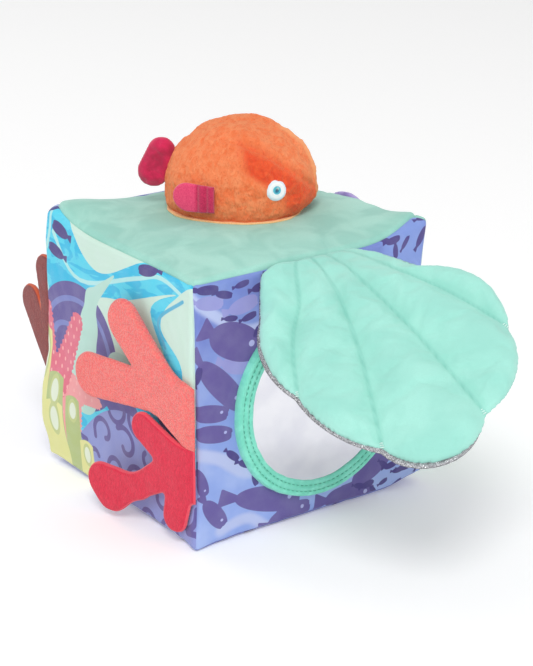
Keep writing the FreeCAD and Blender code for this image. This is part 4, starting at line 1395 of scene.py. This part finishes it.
def shell_path(inset=0.0, slip=0.0):
    """The scalloped edge, hanging shut: five lobes and the sewn edge. Inset draws in the right side, and
    slip moves the left side and the tip outwards."""
    left, tip_left, tip_right, right = (np.array(notch, float) for notch in NOTCHES)
    left, tip_left = left - (slip, 0), tip_left - slip
    tip_right, right = tip_right - (inset / 2, 0), right - (inset, 0)
    shoulder = (37 - inset, 124 - inset)
    points = arc(tip_left, (8, 5 - slip), tip_right)
    points += arc(tip_right, (48 - inset, 34 + inset / 2), right)
    points += arc(right, (63 - inset, 93), shoulder)
    points += [shoulder, (13 - inset, SHELL_HEAD - inset), (-32, SHELL_HEAD - inset / 2), (-43, 140)]
    points += arc((-49, 132), (-60 - slip, 98), left)
    points += arc(left, (-43 - slip, 42), tip_left)
    return Path(points)


def place_shell(u, v, height):
    """A place on the flap, from its spot on the hanging flap and its height off the seam plane."""
    pivot, axis = joint_place("shell_flap")
    shut_angle = joint_named("shell_flap")["range_deg"][0]
    shut = np.stack([SHELL_X + u, SHELL_MID_Y - height, v], -1)
    sag = 0.0016 * np.clip(96 - v, 0, None) ** 1.6
    shut[..., 1] += sag
    opened = turn(shut, pivot, axis, -shut_angle)
    sewn = np.stack([SHELL_X + u, 0.4 - HALF - height * 0.3, SEAM_Z - 0.4 + height * 0.5], -1)
    hold = smooth_step(v, SHELL_FREE, SHELL_HEAD)[..., None]
    return opened * (1 - hold) + sewn * hold


def shell_channels(u, v):
    """How full the padding is between the sewn channels, and the distance to the nearest one."""
    full = np.ones_like(u)
    nearest = np.full_like(u, 99.0)
    for seam in SHELL_SEAMS:
        gap, _ = nearest_on_path(u, v, curve(seam, closed=False, steps=10), False)
        full *= 1 - 0.94 * np.exp(-gap / 6.8)
        nearest = np.minimum(nearest, gap)
    return full, nearest


def shell_puff(depth, u, v):
    """Height of the padded cover: full between the sewn channels and drawn down at each of them."""
    full, nearest = shell_channels(u, v)
    rim = half_round(depth, 10.0)
    spots = np.stack([u, v, np.zeros_like(u)], -1)
    tucks = 0.55 * noise(spots, 8.0, 21) * np.exp(-nearest / 6) + 0.5 * noise(spots, 24.0, 22)
    groove = 0.5 * bell(nearest, 0.9)
    return (1.0 + SHELL_PUFF * full + tucks - groove) * rim


def lining_sag(depth, u, v):
    """How far the loose lining hangs under the seam plane."""
    return (2.2 + 0.3 * flat_noise(u, v, 18.0, 23)) * half_round(depth, 5.0)


def cover_back(depth, u, v):
    return 0.1 * (depth > 0)


def lining_front(depth, u, v):
    return 0.45 * np.minimum(depth, 1.0)


def build_shell():
    """The quilted cover, its glitter lining and the stitches that close each notch."""
    light, dark, shade = tint(168, 230, 216), tint(154, 219, 205), tint(104, 182, 166)
    cover_cloth = velour("shell_velour", light, dark, 30.0, 0.2, shade)
    points, faces, depth, u, v = cut_sheet(shell_path(), 1.6, shell_puff, cover_back, place_shell)
    channel = shell_channels(u, v)[1]
    # The crease field sets where painted shade darkens the cover, along each quilting seam.
    fields = {"crease": 1 - channel / 1.8}
    cover = make_piece("shell_cover_quilted", points, faces, cover_cloth, fields)
    sewn = (channel < 1.1) | (depth < 0.8) | (v > SHELL_HEAD - 6)
    sewn[front_count(depth):] = True
    stuff(cover, sewn, 4.0)
    sheet = cut_sheet(shell_path(4.0, 1.6), 1.2, lining_front, below(lining_sag), place_shell)
    lining = make_piece("shell_lining_glitter", sheet[0], sheet[1], glitter())
    # Points on the middle line at the sewn edge and at the height below which the cloth takes the flap's own
    # shape.
    middle = np.array([-9.0])
    start, end = (place_shell(middle, np.array([v]), np.zeros(1))[0] * MM for v in (SHELL_HEAD, SHELL_FREE))
    for piece in (cover, lining):
        tuple(start)
        tuple(end)
        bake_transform(piece)
    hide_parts("shell_cover", "shell_padding", "shell_neck", "shell_hem")
    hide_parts("shell_lining")
    thread = felt("shell_thread", tint(232, 250, 246), tint(205, 236, 228))
    knots = []
    for seam in SHELL_SEAMS:
        tip, before = np.array(seam[-1], float), np.array(seam[-2], float)
        run = (before - tip) / np.linalg.norm(before - tip)
        side = np.array([-run[1], run[0]])
        for k in range(3):
            at = tip + run * (0.8 + 1.3 * k)
            ends = np.stack([at + side * s for s in np.linspace(-1.1, 1.1, 6)])
            height = 1.1 + 0.25 * (1 - np.linspace(-1, 1, 6) ** 2)
            knots.append(tube(place_shell(ends[:, 0], ends[:, 1], height), 0.3))
    points, faces = join_parts(knots)
    make_piece("shell_notch_stitches", points, faces, thread, None, "shell")


# ---- corals -------------------------------------------------------------------------------------


def coral_place(axis, facing, curl):
    """Stands a flat coral on its seam: u is the reach from the seam and v is the height."""
    angle = math.radians(facing)
    reach = np.array([math.cos(angle), math.sin(angle), 0.0])
    outward = np.array([-math.sin(angle), math.cos(angle), 0.0])

    def place(u, v, height):
        lift = curl * np.clip(u / 90, 0, 1) ** 2 + 0.8 * flat_noise(u, v, 30.0, 31) * np.clip(u / 30, 0, 1)
        spot = np.zeros(u.shape + (3,))
        spot[..., 0], spot[..., 1] = axis[0], axis[1]
        spot[..., 2] = v
        return spot + u[..., None] * reach + (height + lift)[..., None] * outward

    return place, reach


def build_coral(name, node, shape, axis, facing, material, half_thick, soft, curl=3.0):
    """One coral. Facing is its direction from the seam in degrees, and soft the rounding of its edge."""
    place, reach = coral_place(axis, facing, curl)

    def side(depth, u, v):
        thin = 1 - 0.45 * np.exp(-np.clip(u, 0, None) / 4)
        dents = 0.12 * flat_noise(u, v, 6.0, 33)
        return rounded_rim(half_thick, soft)(depth, u, v) * (thin + dents * (depth > 1))

    points, faces, depth, u, v = cut_sheet(shape, 0.85, side, below(side), place)
    piece = make_piece(name, points, faces, material, {"rim": depth})
    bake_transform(piece)
    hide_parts(node)
    return piece


SEAM_CUT = -2.4  # how far a coral's root reaches past its seam

# Each finger is (root, tip, radius at the root, radius at the tip). The first is the neck in the seam.
SALMON_FINGERS = [
    ((0, 76), (22, 84), 18, 14), ((22, 88), (53, 117), 12, 12), ((30, 82), (80, 79), 11, 13),
]
RED_FINGERS = [
    ((0, 44), (14, 47), 16, 12), ((14, 49), (36, 61), 11, 9), ((16, 42), (42, 25), 10, 7),
    ((42, 25), (63, 18), 7, 13), ((63, 18), (70, 21), 13, 10), ((9, 36), (13, 16), 10, 8.5),
]
BROWN_FINGERS = [
    ((-1, 52), (0, 66), 4, 7), ((-1, 66), (5, 114), 7, 10), ((2, 56), (22, 91), 6, 10.5),
]


def build_corals():
    near = joint_place("coral_salmon_swing")[0] - (REEF_BULGE, 0, 0)
    far = joint_place("coral_brown_swing")[0]
    salmon_terry = terry("salmon_terry", tint(255, 132, 124), tint(238, 98, 100))
    salmon = Fingers(SALMON_FINGERS, 4.0, SEAM_CUT)
    build_coral(
        "coral_salmon_terry", "coral_salmon", salmon, near, 97.0, salmon_terry, 2.6, 3.0
    )
    red_felt = felt("red_felt", tint(228, 40, 72), tint(202, 26, 58), tint(236, 76, 94))
    red = Fingers(RED_FINGERS, 4.0, SEAM_CUT)
    piece = build_coral(
        "coral_red_felt", "coral_red", red, near, 100.0, red_felt, 1.9, 1.7, 4.0
    )
    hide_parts("coral_seam_margins")
    # The brown-red of this felt is painted shade: the coral stands in shadow at the back edge, so its colour
    # is taken darker than the felt's own.
    brown_felt = felt("brown_felt", tint(146, 62, 58), tint(118, 44, 44), tint(206, 92, 58))
    brown = Fingers(BROWN_FINGERS, 2.0, SEAM_CUT)
    build_coral(
        "coral_shade_darkened_felt", "coral_brown", brown, far, 90.0, brown_felt, 1.6, 1.4, -1.0
    )


# ---- plush fish ---------------------------------------------------------------------------------

FISH_HEADING = -42.0  # direction of the nose, in degrees from +X
FISH_LONG, FISH_WIDE = 42.8, 33.0  # half sizes at the widest place
BELLY_Z, FISH_RISE = 168.0, 41.0  # height of the widest place, and how far the back rises over it
FULLNESS = 2.05  # 2 is an ellipse, and more is boxier
FISH_FOOT = 156.9  # height at which the body meets its base
FISH_AHEAD = 1.3  # how far the body's middle lies ahead of its plunger
HEAD_LEAN = 1.5  # how far the back's highest place leans towards the nose
NOSE_TUCK = 7.0  # how far the chin is drawn back at the foot
EYE_AT = (24.0, 175.0)  # along the body, and height
FIN_AT = (-9.5, 170.0)  # the fin's root, in the same way
TAIL_AT = -46.2  # along the body
FOOT_LEVEL = -math.asin(((BELLY_Z - FISH_FOOT) / FISH_RISE) ** (FULLNESS / 2)) * 2 / math.pi


def place_fish(points):
    """From the fish's own axes, nose along +X, onto the top panel."""
    points = np.asarray(points, float)
    spun = turn(points, np.zeros(3), (0, 0, 1), FISH_HEADING)
    return spun + np.array([FISH_X, FISH_Y, 0.0])


def fish_body(level, around):
    """A point on the smooth body: level goes from -1 below the widest place to 1 on the back."""
    power = 2 / FULLNESS
    rise = np.sign(level) * np.abs(np.sin(level * math.pi / 2)) ** power
    girth = np.abs(np.cos(level * math.pi / 2)) ** power
    x = FISH_AHEAD + FISH_LONG * girth * np.cos(around) + HEAD_LEAN * np.clip(rise, 0, 1) ** 2
    x -= NOSE_TUCK * np.clip(np.cos(around), 0, 1) ** 2 * np.clip(level / FOOT_LEVEL, 0, 1) ** 1.5
    return np.stack([x, FISH_WIDE * girth * np.sin(around), BELLY_Z + FISH_RISE * rise], -1)


def flank(along, z, side, out):
    """A point near the fish's side, off the surface by out, at a place along it and a height."""
    def on_skin(a, b):
        rise = np.clip((b - BELLY_Z) / FISH_RISE, -0.99, 0.99)
        girth = (1 - np.abs(rise) ** FULLNESS) ** (1 / FULLNESS)
        x = (a - FISH_AHEAD - HEAD_LEAN * np.clip(rise, 0, 1) ** 2) / FISH_LONG
        return np.stack([a, side * FISH_WIDE * np.sqrt(np.clip(girth**2 - x**2, 0.001, 1)), b], -1)

    spot = on_skin(along, z)
    ahead, above = on_skin(along + 0.5, z) - spot, on_skin(along, z + 0.5) - spot
    normal = np.cross(ahead, above)
    normal /= np.linalg.norm(normal, axis=-1, keepdims=True)
    normal *= np.sign(normal[..., 1:2] * side)
    return spot + normal * np.asarray(out)[..., None]


def brow_height(x):
    """Height of the crease over the eyes, where the head's darker pile begins."""
    return 200 - 0.0105 * (x + 8) ** 2


def fish_relief(x, y, z, pile):
    """How far the pile stands off the smooth body: a ridge down the middle with a valley on each side,
    the brow crease, a dimple before the tail, the pull of the seam at the foot, and tufts of four sizes."""
    ridge = 1.3 * bell(y, 2.6) - 0.9 * bell(np.abs(y) - 7.5, 3.4)
    lift = ridge * (0.35 + 0.65 * smooth_step(x, 2, 34)) * smooth_step(z, 172, 184)
    over_brow = z - brow_height(x)
    crease = bell(over_brow, 1.5) - bell(over_brow - 4.5, 3.0)
    lift -= 1.3 * crease * smooth_step(x, -8, 4) * smooth_step(np.abs(y), 5, 10)
    lift -= 1.2 * bell(x + 27, 4) * bell(z - 197, 5)
    lift -= 1.4 * np.exp(-((z - FISH_FOOT) / 2.2))
    for seed, height, size in ((41, 1.0, 11.0), (42, 0.6, 4.6), (43, 0.34, 2.0), (44, 0.2, 1.1)):
        lift += height * noise(pile, size, seed)
    return lift


def build_fish_body():
    """The plush body, closed by a base under it, with fields for the head's patch, the painted highlight
    stripe along the nose and the painted shade at the foot.
    """
    rings, around = 150, 560
    level = np.linspace(FOOT_LEVEL, 0.992, rings)[:, None]
    angle = round_circle(around)[None, :]
    level, angle = np.broadcast_arrays(level, angle)
    spots = fish_body(level, angle)
    outward = surface_normals(np.concatenate([spots, spots[:, :1]], axis=1))[:, :-1]
    if (outward * (spots - (0, 0, BELLY_Z))).sum() < 0:
        outward = -outward
    pile = place_fish(spots)
    x, y, z = (spots[..., k] for k in range(3))
    brow = brow_height(x)
    spots = spots + outward * fish_relief(x, y, z, pile)[..., None]
    spots[0, :, 2] = FISH_FOOT
    crown = spots[-1].mean(0)
    base = np.array([0.0, 0.0, FISH_FOOT + 0.4])
    points = np.concatenate([spots.reshape(-1, 3), [crown, base]])
    top, foot = len(points) - 2, len(points) - 1
    faces = as_tuples(grid_faces(rings, around, True))
    faces += fan_faces((rings - 1) * around, around, top)
    faces += fan_faces(0, around, foot, outwards=False)
    edge = 5 + 23 * (1 - smooth_step(z, 172, 188)) + 2.5 * noise(pile, 9.0, 45)
    ends = [0.0, 0.0]
    fields = {
        "patch": np.concatenate([np.minimum(x - edge, brow - z).ravel() * 0.6, ends]),
        # rim: where the painted highlight runs along the nose seam.
        "rim": np.concatenate([np.minimum(2.0 - np.abs(y + 1.5), (x - 22) * 0.3).ravel(), [-3.0, -3.0]]),
        # foot: where painted shade darkens the pile near the base.
        "foot": np.concatenate([(4.5 - (z - FISH_FOOT)).ravel(), ends]),
    }
    body = make_piece("fish_body_plush", place_fish(points), faces, plush(), fields)
    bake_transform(body)
    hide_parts("fish_skin", "fish_stuffing")


def build_fish_patch():
    """The sewn base under the fish, whose pale edge shows all round."""
    around = 260
    angle = round_circle(around)
    foot = fish_body(np.full(around, FOOT_LEVEL), angle)
    outward = np.stack([np.cos(angle), np.sin(angle), np.zeros(around)], -1)
    profile = [(-0.8, -0.6), (0.3, -0.2), (0.7, 0.4), (0.3, 0.9), (-0.8, 1.0),
               (-3.0, 1.0), (-9.0, 0.8), (-17.0, 0.6)]
    wobble = 0.25 * np.sin(7 * angle) + 0.15 * np.sin(17 * angle)
    rows = []
    for grow, rise in profile:
        flat = place_fish(foot + outward * (grow + wobble)[:, None])
        flat[:, 2] = SEAM_Z
        drape = skin(flat)
        drape[:, 2] = np.minimum(drape[:, 2] + 0.7 + rise, TOP + 1.2)
        rows.append(drape)
    cream = felt("cream_cotton", tint(255, 206, 150), tint(246, 182, 122))
    faces = grid_faces(len(rows), around, True)
    points = np.concatenate(rows)
    make_piece("fish_base_binding", points, faces, cream, None, "cube", ["fish_base_patch"])


def eye_cloth():
    """Stitched eye with radial threads: a pale rim, a white disc, a blue ring, a pupil and a glint."""
    cloth = Cloth("eye_embroidery", 0.45, 0.3)
    colour = cloth.layer(tint(226, 236, 246), "white", tint(252, 252, 253), 0.5)
    colour = cloth.layer(colour, "ring", tint(92, 206, 228), 0.2)
    colour = cloth.layer(colour, "pupil", tint(52, 150, 190), 0.25)
    colour = cloth.layer(colour, "glint", tint(214, 250, 252), 0.15)
    cloth.bump(cloth.span(cloth.field("thread"), -1.0, 1.0), 0.12)
    cloth.bump(cloth.noise(0.5, 2.0), 0.06)
    return cloth.paint(colour)


def build_eyes():
    """Round stitched eyes, each a slightly domed disc lying against the side of the head."""
    cloth = eye_cloth()
    rings, around, radius = 26, 120, 6.0
    share = np.linspace(0.04, 1, rings)[:, None]
    angle = round_circle(around)[None, :]
    a, b = radius * share * np.cos(angle), radius * share * np.sin(angle)
    thread = np.broadcast_to(np.sin(angle * 40), a.shape)
    dome = 1.9 * np.sqrt(np.clip(1.04 - share**4, 0, 1)) - 0.6 + 0.06 * thread * (share < 0.97)
    fields = {
        "white": 4.4 - np.hypot(a, b), "ring": 2.3 - np.hypot(a, b), "pupil": 1.1 - np.hypot(a, b + 0.4),
        "glint": 0.75 - np.hypot(a - 0.5, b - 0.8), "thread": thread,
    }
    fields = {key: np.append(field.ravel(), field[0, 0]) for key, field in fields.items()}
    faces = as_tuples(grid_faces(rings, around, True))
    faces += fan_faces(0, around, rings * around, outwards=False)
    for side, word in ((1, "left"), (-1, "right")):
        centre, out, ahead = (flank(np.array(EYE_AT[0] + da), np.array(EYE_AT[1]), side, np.array(lift))
                              for da, lift in ((0.0, 0.0), (0.0, 1.0), (1.0, 0.0)))
        normal, along = out - centre, ahead - centre
        along /= np.linalg.norm(along)
        above = np.cross(along, normal) * -side
        above *= np.sign(above[2])
        spots = centre + a[..., None] * along + b[..., None] * above + dome[..., None] * normal
        points = place_fish(np.concatenate([spots.reshape(-1, 3), [spots[0].mean(0)]]))
        make_piece(
            f"fish_eye_{word}_stitched", points, faces, cloth, fields,
            "fish", [f"fish_eye_{word}"],
        )


def fin_cloth():
    """Pink felt, darker on the sewn half."""
    cloth = Cloth("fin_felt", 0.9, 0.4)
    fibre = cloth.noise(0.7, 4.0)
    cloth.bump(fibre, 0.2)
    free = cloth.mix(cloth.span(fibre, 0.3, 0.7), tint(222, 48, 100), tint(238, 74, 118))
    hem = cloth.mix(cloth.span(fibre, 0.3, 0.7), tint(176, 18, 70), tint(208, 42, 92))
    return cloth.paint(cloth.mix(cloth.span(cloth.field("hem"), -1.0, 1.0), free, hem))


def build_fins():
    """A felt fin on each flank, with two sewn ridges at its root. It bows off the body to its free end."""
    cloth = fin_cloth()
    root, middle_z = FIN_AT
    path = Path([(1, -7), (1, 7)] + arc((-12, 7.5), (-20, 0), (-12, -7.5), 24) + [(-12, -7.5)])

    def side_height(depth, u, v):
        ridges = 0.7 * bell(u + 1.0, 1.2) + 0.7 * bell(u + 5.6, 1.3)
        grooves = 0.5 * bell(u + 3.2, 0.6) + 0.5 * bell(u + 7.8, 0.6)
        return rounded_rim(1.1, 1.2)(depth, u, v) * (1 + ridges - grooves)

    for word, side in (("left", 1), ("right", -1)):
        def place(u, v, height):
            off = 2.8 + height + 2.6 * np.clip(-u / 20, 0, 1) ** 2
            return place_fish(flank(root + u, middle_z + v, side, off))

        points, faces, depth, u, v = cut_sheet(path, 0.5, side_height, below(rounded_rim(1.0, 1.2)), place)
        make_piece(
            f"fish_fin_{word}_felt", points, faces, cloth, {"hem": 8.5 + u},
            f"fin_{word}", [f"fish_fin_{word}"],
        )


def build_tail():
    """The stuffed tail, sewn all round and held at its root."""
    cloth = velour("tail_plush", tint(214, 26, 84), tint(170, 10, 62), 9.0, 0.6)
    leaning_oval = Fingers([((-2, -6), (3, 6), 9, 8)], 1.0, -40.0)
    pivot, _ = joint_place("tail_sway")

    def pillow(depth, u, v):
        return 3.2 * half_round(depth, 6.0) * (1 + 0.06 * flat_noise(u, v, 6.0, 51))

    def place(u, v, height):
        return place_fish(np.stack([TAIL_AT + u, height, pivot[2] + v], -1))

    points, faces, depth, u, v = cut_sheet(leaning_oval, 1.0, pillow, below(pillow), place)
    piece = make_piece("fish_tail_padded", points, faces, cloth)
    stuff(piece, (depth < 0.3) | (u > 4), 1.6)
    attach(piece, "tail")
    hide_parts("fish_tail")


# ---- jellyfish ----------------------------------------------------------------------------------


def build_jellyfish():
    """The bell on the right side: a ribbed, stuffed dome on a flat back, with a scalloped lower edge."""
    low, high = box_mm("jellyfish_bell")
    middle, hem_z = (low[1] + high[1]) / 2, low[2] - 1.0
    half, tall, back = (high[1] - low[1]) / 2, high[2] - low[2] + 1.0, low[0]
    cloth = velour("lilac_plush", tint(176, 160, 222), tint(146, 126, 198), 8.0, 0.5)
    shoulder = 11.0  # height at which the bell's sides turn in
    turned = np.linspace(0, math.pi, 28)
    waves = [(half * math.cos(t), shoulder + (tall - shoulder) * math.sin(t)) for t in turned]
    scallops = []
    for i in range(5):
        left, wide = -half + i * half * 0.4, half * 0.4
        scallops += arc((left, 1.8), (left + wide / 2, 0.0), (left + wide, 1.8), 8)
    path = Path(waves + [(-half, 8)] + scallops + [(half, 1.8), (half, 8)])

    def dome(depth, u, v):
        full = half_round(depth, 13.0)
        ribs = 1 - 0.10 * (0.5 + 0.5 * np.cos(u / half * 5 * math.pi)) * smooth_step(-v, -22, 0)
        return (high[0] - low[0]) * 0.85 * full * ribs + 0.2 * flat_noise(u, v, 5.0, 61) * (depth > 2)

    def place(u, v, height):
        return np.stack([back + 0.6 + height, middle + u, hem_z + v], -1)

    def flat_back(depth, u, v):
        return -0.5 * np.minimum(depth, 1.0)

    points, faces, depth, u, v = cut_sheet(path, 1.2, dome, flat_back, place)
    bell = make_piece("jellyfish_bell_plush", points, faces, cloth)
    sewn = depth < 0.5
    sewn[front_count(depth):] = True
    stuff(bell, sewn, 2.0)
    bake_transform(bell)
    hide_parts("jellyfish_bell", "jellyfish_hem")
    build_ribbons(middle)


def build_ribbons(middle):
    """Four satin ribbons that hang in waves under the bell, the outer two shorter."""
    low, high = box_mm("jellyfish_ribbons")
    colours = ((214, 150, 206), (150, 206, 226), (232, 128, 150), (172, 150, 222))
    for i, colour in enumerate(colours):
        dark = tuple(c * 0.86 for c in colour)
        cloth = satin(f"ribbon_satin_{i + 1}", tint(*colour), tint(*dark))
        across = middle - 15 + 10 * i
        length = high[2] - low[2] - (6 if i in (0, 3) else 0)
        rows, columns = 120, 9
        down = np.linspace(0, 1, rows)[:, None]
        side = np.linspace(-1, 1, columns)[None, :]
        wave = 0.55 * np.sin(down * 9 + i) * down
        y = across + 3.0 * side + 1.0 * np.sin(down * 7 + 2 * i) * down
        z = high[2] - length * down - 1.2 * np.abs(side) * (down > 0.995)
        x = (low[0] + high[0]) / 2 + 0.15 + wave + 0.35 * side * np.sin(down * 6 + i) * down
        front = np.stack([x + 0.3, y + 0 * x, z + 0 * x], -1)
        rear = np.stack([x - 0.3, y + 0 * x, z + 0 * x], -1)[:, ::-1]
        ring = np.concatenate([front, rear], axis=1)
        faces = as_tuples(grid_faces(rows, 2 * columns, True))
        faces.append(tuple(range(2 * columns))[::-1])
        faces.append(tuple(range((rows - 1) * 2 * columns, rows * 2 * columns)))
        nodes = ["jellyfish_ribbons"] if i == 0 else []
        name = f"jellyfish_ribbon_{i + 1}"
        make_piece(name, ring, faces, cloth, None, "ribbons", nodes)


# ---- access flap --------------------------------------------------------------------------------


STITCH_IN = 4.6  # the row of stitches, in from the flap's edge


def build_access(deep_cloth):
    """The hemmed flap over the battery opening, sewn in along its top, with its row of stitches."""
    low, high = box_mm("access_flap")
    middle_y, half_thick = (low[1] + high[1]) / 2, (high[1] - low[1]) / 2
    left, right, bottom, top = low[0], high[0], low[2], high[2] + 1.4
    corner = 8.0
    round_top, round_middle = bottom + corner, bottom + 0.3 * corner
    path = [(left, top), (left, round_top)]
    path += arc((left, round_top), (left + 0.3 * corner, round_middle), (left + corner, bottom))
    path += arc((right - corner, bottom), (right - 0.3 * corner, round_middle), (right, round_top))
    path += [(right, round_top), (right, top)]

    def place(u, v, height):
        into_seam = smooth_step(v, top - 5, top)
        bow = 0.35 * flat_noise(u, v, 26.0, 71) + 0.3 * np.cos((u - left) / (right - left) * math.pi * 2)
        return np.stack([u, middle_y + height + bow - (middle_y - HALF + 1.6) * into_seam, v], -1)

    def side(depth, u, v):
        hem = 0.35 * smooth_step(depth, 0, 1) * (1 - smooth_step(depth, 5.2, 6.0))
        line = 0.3 * bell(depth - STITCH_IN, 0.5)
        return plain(depth, u, v) + hem - line

    plain = rounded_rim(half_thick * 0.8, 0.9)
    points, faces, depth, u, v = cut_sheet(Path(path), 0.8, side, below(plain), place)
    fields = deep_sea_fields(-u, v)
    flap = make_piece("access_flap_print", points, faces, deep_cloth, fields)
    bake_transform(flap)
    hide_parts("access_flap", "access_flap_hem")
    row = np.array([(left + STITCH_IN, 0, z) for z in np.linspace(top - 6, bottom + 10, 60)]
                   + [(x, 0, bottom + STITCH_IN) for x in np.linspace(left + 10, right - 10, 90)]
                   + [(right - STITCH_IN, 0, z) for z in np.linspace(bottom + 10, top - 6, 60)])
    depth = np.full(len(row), STITCH_IN)
    seat = place(row[:, 0], row[:, 2], side(depth, row[:, 0], row[:, 2]) + 0.1)
    outward = np.tile([0.0, 1.0, 0.0], (len(row), 1))
    thread = felt("flap_thread", tint(150, 158, 214), tint(120, 128, 190))
    points, faces = stitches(seat, outward, 2.4, 1.1, 0.2)
    make_piece("access_flap_stitches", points, faces, thread, None, "access")


# ---- button spring ------------------------------------------------------------------------------


def build_spring(steel):
    """The coil spring under the button, built at its full height; in the toy the fish's travel presses it
    flat.
    """
    low, high = box_mm("button_spring")
    middle, outer = (low + high) / 2, (high[0] - low[0]) / 2
    radius, turns = 6.4, 3
    wire = outer - radius
    along = np.linspace(0, 1, 160)
    turned = along * turns * 2 * math.pi
    path = np.stack([middle[0] + radius * np.cos(turned), middle[1] + radius * np.sin(turned),
                     low[2] + wire + (high[2] - low[2] - 2 * wire) * along], -1)
    points, faces = tube(path, wire, 10)
    piece = make_piece(
        "button_spring_coil", points, faces, steel, None, "cube", ["button_spring"]
    )
    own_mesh(piece)


# ---- pieces that keep their CAD shape -----------------------------------------------------------


def finish_cad_nodes():
    """Materials for the hidden core and the sound module, which keep their CAD shapes."""
    case = moulded("case_plastic", tint(238, 238, 232), tint(222, 222, 214), 0.45)
    grey = moulded("grey_plastic", tint(150, 152, 158), tint(128, 130, 136), 0.5)
    screw = moulded("screw_steel", tint(176, 178, 182), tint(138, 140, 146), 0.32, 1.0, 0.4, 0.02)
    cell = moulded("cell_steel", tint(204, 204, 206), tint(176, 178, 182), 0.26, 1.0, 0.5, 0.01)
    brass = moulded("contact_brass", tint(212, 176, 96), tint(176, 138, 66), 0.3, 1.0, 0.4, 0.01)
    laminate = moulded("board_laminate", tint(52, 122, 78), tint(38, 98, 62), 0.4, 0.0, 0.5, 0.02)
    resin = moulded("chip_resin", tint(44, 44, 46), tint(28, 28, 30), 0.5, 0.0, 0.5, 0.02)
    cone = moulded("speaker_steel", tint(158, 160, 164), tint(122, 124, 130), 0.4, 0.9, 0.6, 0.02)
    wire = moulded("wire_insulation", tint(204, 58, 50), tint(176, 42, 38), 0.45, 0.0, 0.4, 0.01)
    card = moulded("mirror_card", tint(196, 178, 148), tint(170, 150, 120), 0.85, 0.0, 0.8, 0.05)
    hooks = hook_or_loop("hook_tape", tint(238, 240, 244), tint(206, 210, 218), 0.9)
    loops = hook_or_loop("loop_tape", tint(240, 242, 246), tint(196, 200, 210), 0.6)
    finishes = (
        (case, "sound_case_lower", "sound_case_upper", "battery_door"),
        (grey, "sound_button", "fish_plunger"), (screw, "case_screws", "battery_door_screw"),
        (cell, "button_cells"), (brass, "battery_contacts"), (laminate, "circuit_board"),
        (resin, "sound_chip", "press_switch"), (cone, "speaker"), (wire, "speaker_leads"),
        (card, "mirror_backing"), (hooks, "hook_tape"), (loops, "loop_tape"),
    )
    for material, *nodes in finishes:
        for node in nodes:
            mesh = frame["nodes"][node].data
            mesh.materials.clear()
            mesh.materials.append(material)
    build_spring(screw)


# ---- stage, lights and camera -------------------------------------------------------------------


def build_stage():
    """A pale floor just under the object, large enough to reach past every view."""
    reach, level = 6.0, -0.0003
    corners = [(-reach, -reach, level), (reach, -reach, level), (reach, reach, level), (-reach, reach, level)]
    mesh = bpy.data.meshes.new("floor")
    mesh.from_pydata(corners, [], [(0, 1, 2, 3)])
    cloth = Cloth("studio_floor", 0.9)
    cloth.surface.inputs["Emission Color"].default_value = (1.0, 1.0, 1.0, 1.0)
    cloth.surface.inputs["Emission Strength"].default_value = 0.14
    mesh.materials.append(cloth.paint(tint(250, 250, 250)))
    floor = bpy.data.objects.new("floor", mesh)
    bpy.context.scene.collection.objects.link(floor)


def add_light(name, place, size, power):
    """A round soft lamp at a place in metres, turned towards the object's middle."""
    lamp = bpy.data.lights.new(name, "AREA")
    lamp.shape = "DISK"
    lamp.size = size
    lamp.energy = power
    light = bpy.data.objects.new(name, lamp)
    light.location = place
    ray = Vector((0.0, 0.0, 0.09)) - Vector(place)
    light.rotation_euler = ray.to_track_quat("-Z", "Y").to_euler()
    bpy.context.scene.collection.objects.link(light)


def light_scene():
    """A white studio: an even background that lights the object a little less than it shows, and lamps."""
    world = bpy.data.worlds.new("studio")
    bpy.context.scene.world = world
    world.use_nodes = True
    nodes, links = world.node_tree.nodes, world.node_tree.links
    background, path = nodes["Background"], nodes.new("ShaderNodeLightPath")
    background.inputs["Color"].default_value = (1.0, 1.0, 1.0, 1.0)
    strength = nodes.new("ShaderNodeMapRange")
    strength.inputs["To Min"].default_value = 1.0
    strength.inputs["To Max"].default_value = 0.6
    links.new(path.outputs["Is Diffuse Ray"], strength.inputs["Value"])
    links.new(strength.outputs["Result"], background.inputs["Strength"])
    add_light("key", (-1.0, -1.3, 1.7), 0.8, 22.0)
    add_light("fill", (1.4, -1.4, 0.9), 1.4, 4.0)
    add_light("rim", (-0.6, 1.6, 1.5), 1.2, 6.0)


def place_camera():
    """The camera stands to the left of the front and a little above, with a long lens."""
    round_by, above, distance = math.radians(-35.55), math.radians(20.13), 1.1375
    aim = Vector((0.0144, -0.0103, 0.0846))
    level = math.cos(above)
    back = Vector((math.sin(round_by) * level, -math.cos(round_by) * level, math.sin(above)))
    data = bpy.data.cameras.new("camera")
    data.lens = 108.1
    camera = bpy.data.objects.new("camera", data)
    camera.location = aim + back * distance
    camera.rotation_euler = (-back).to_track_quat("-Z", "Y").to_euler()
    bpy.context.scene.collection.objects.link(camera)
    bpy.context.scene.camera = camera


def build_object():
    mint, deep_cloth = build_panels()
    binding = velour("mint_binding", tint(138, 232, 208), tint(116, 216, 190), 6.0, 0.3)
    build_foam(foam())
    build_mirror(binding, mirror_film())
    build_shell()
    build_corals()
    build_fish_body()
    build_fish_patch()
    build_eyes()
    build_fins()
    build_tail()
    build_jellyfish()
    build_access(deep_cloth)
    finish_cad_nodes()


build_object()
build_stage()
light_scene()
place_camera()
bpy.context.scene.view_settings.view_transform = "Standard"
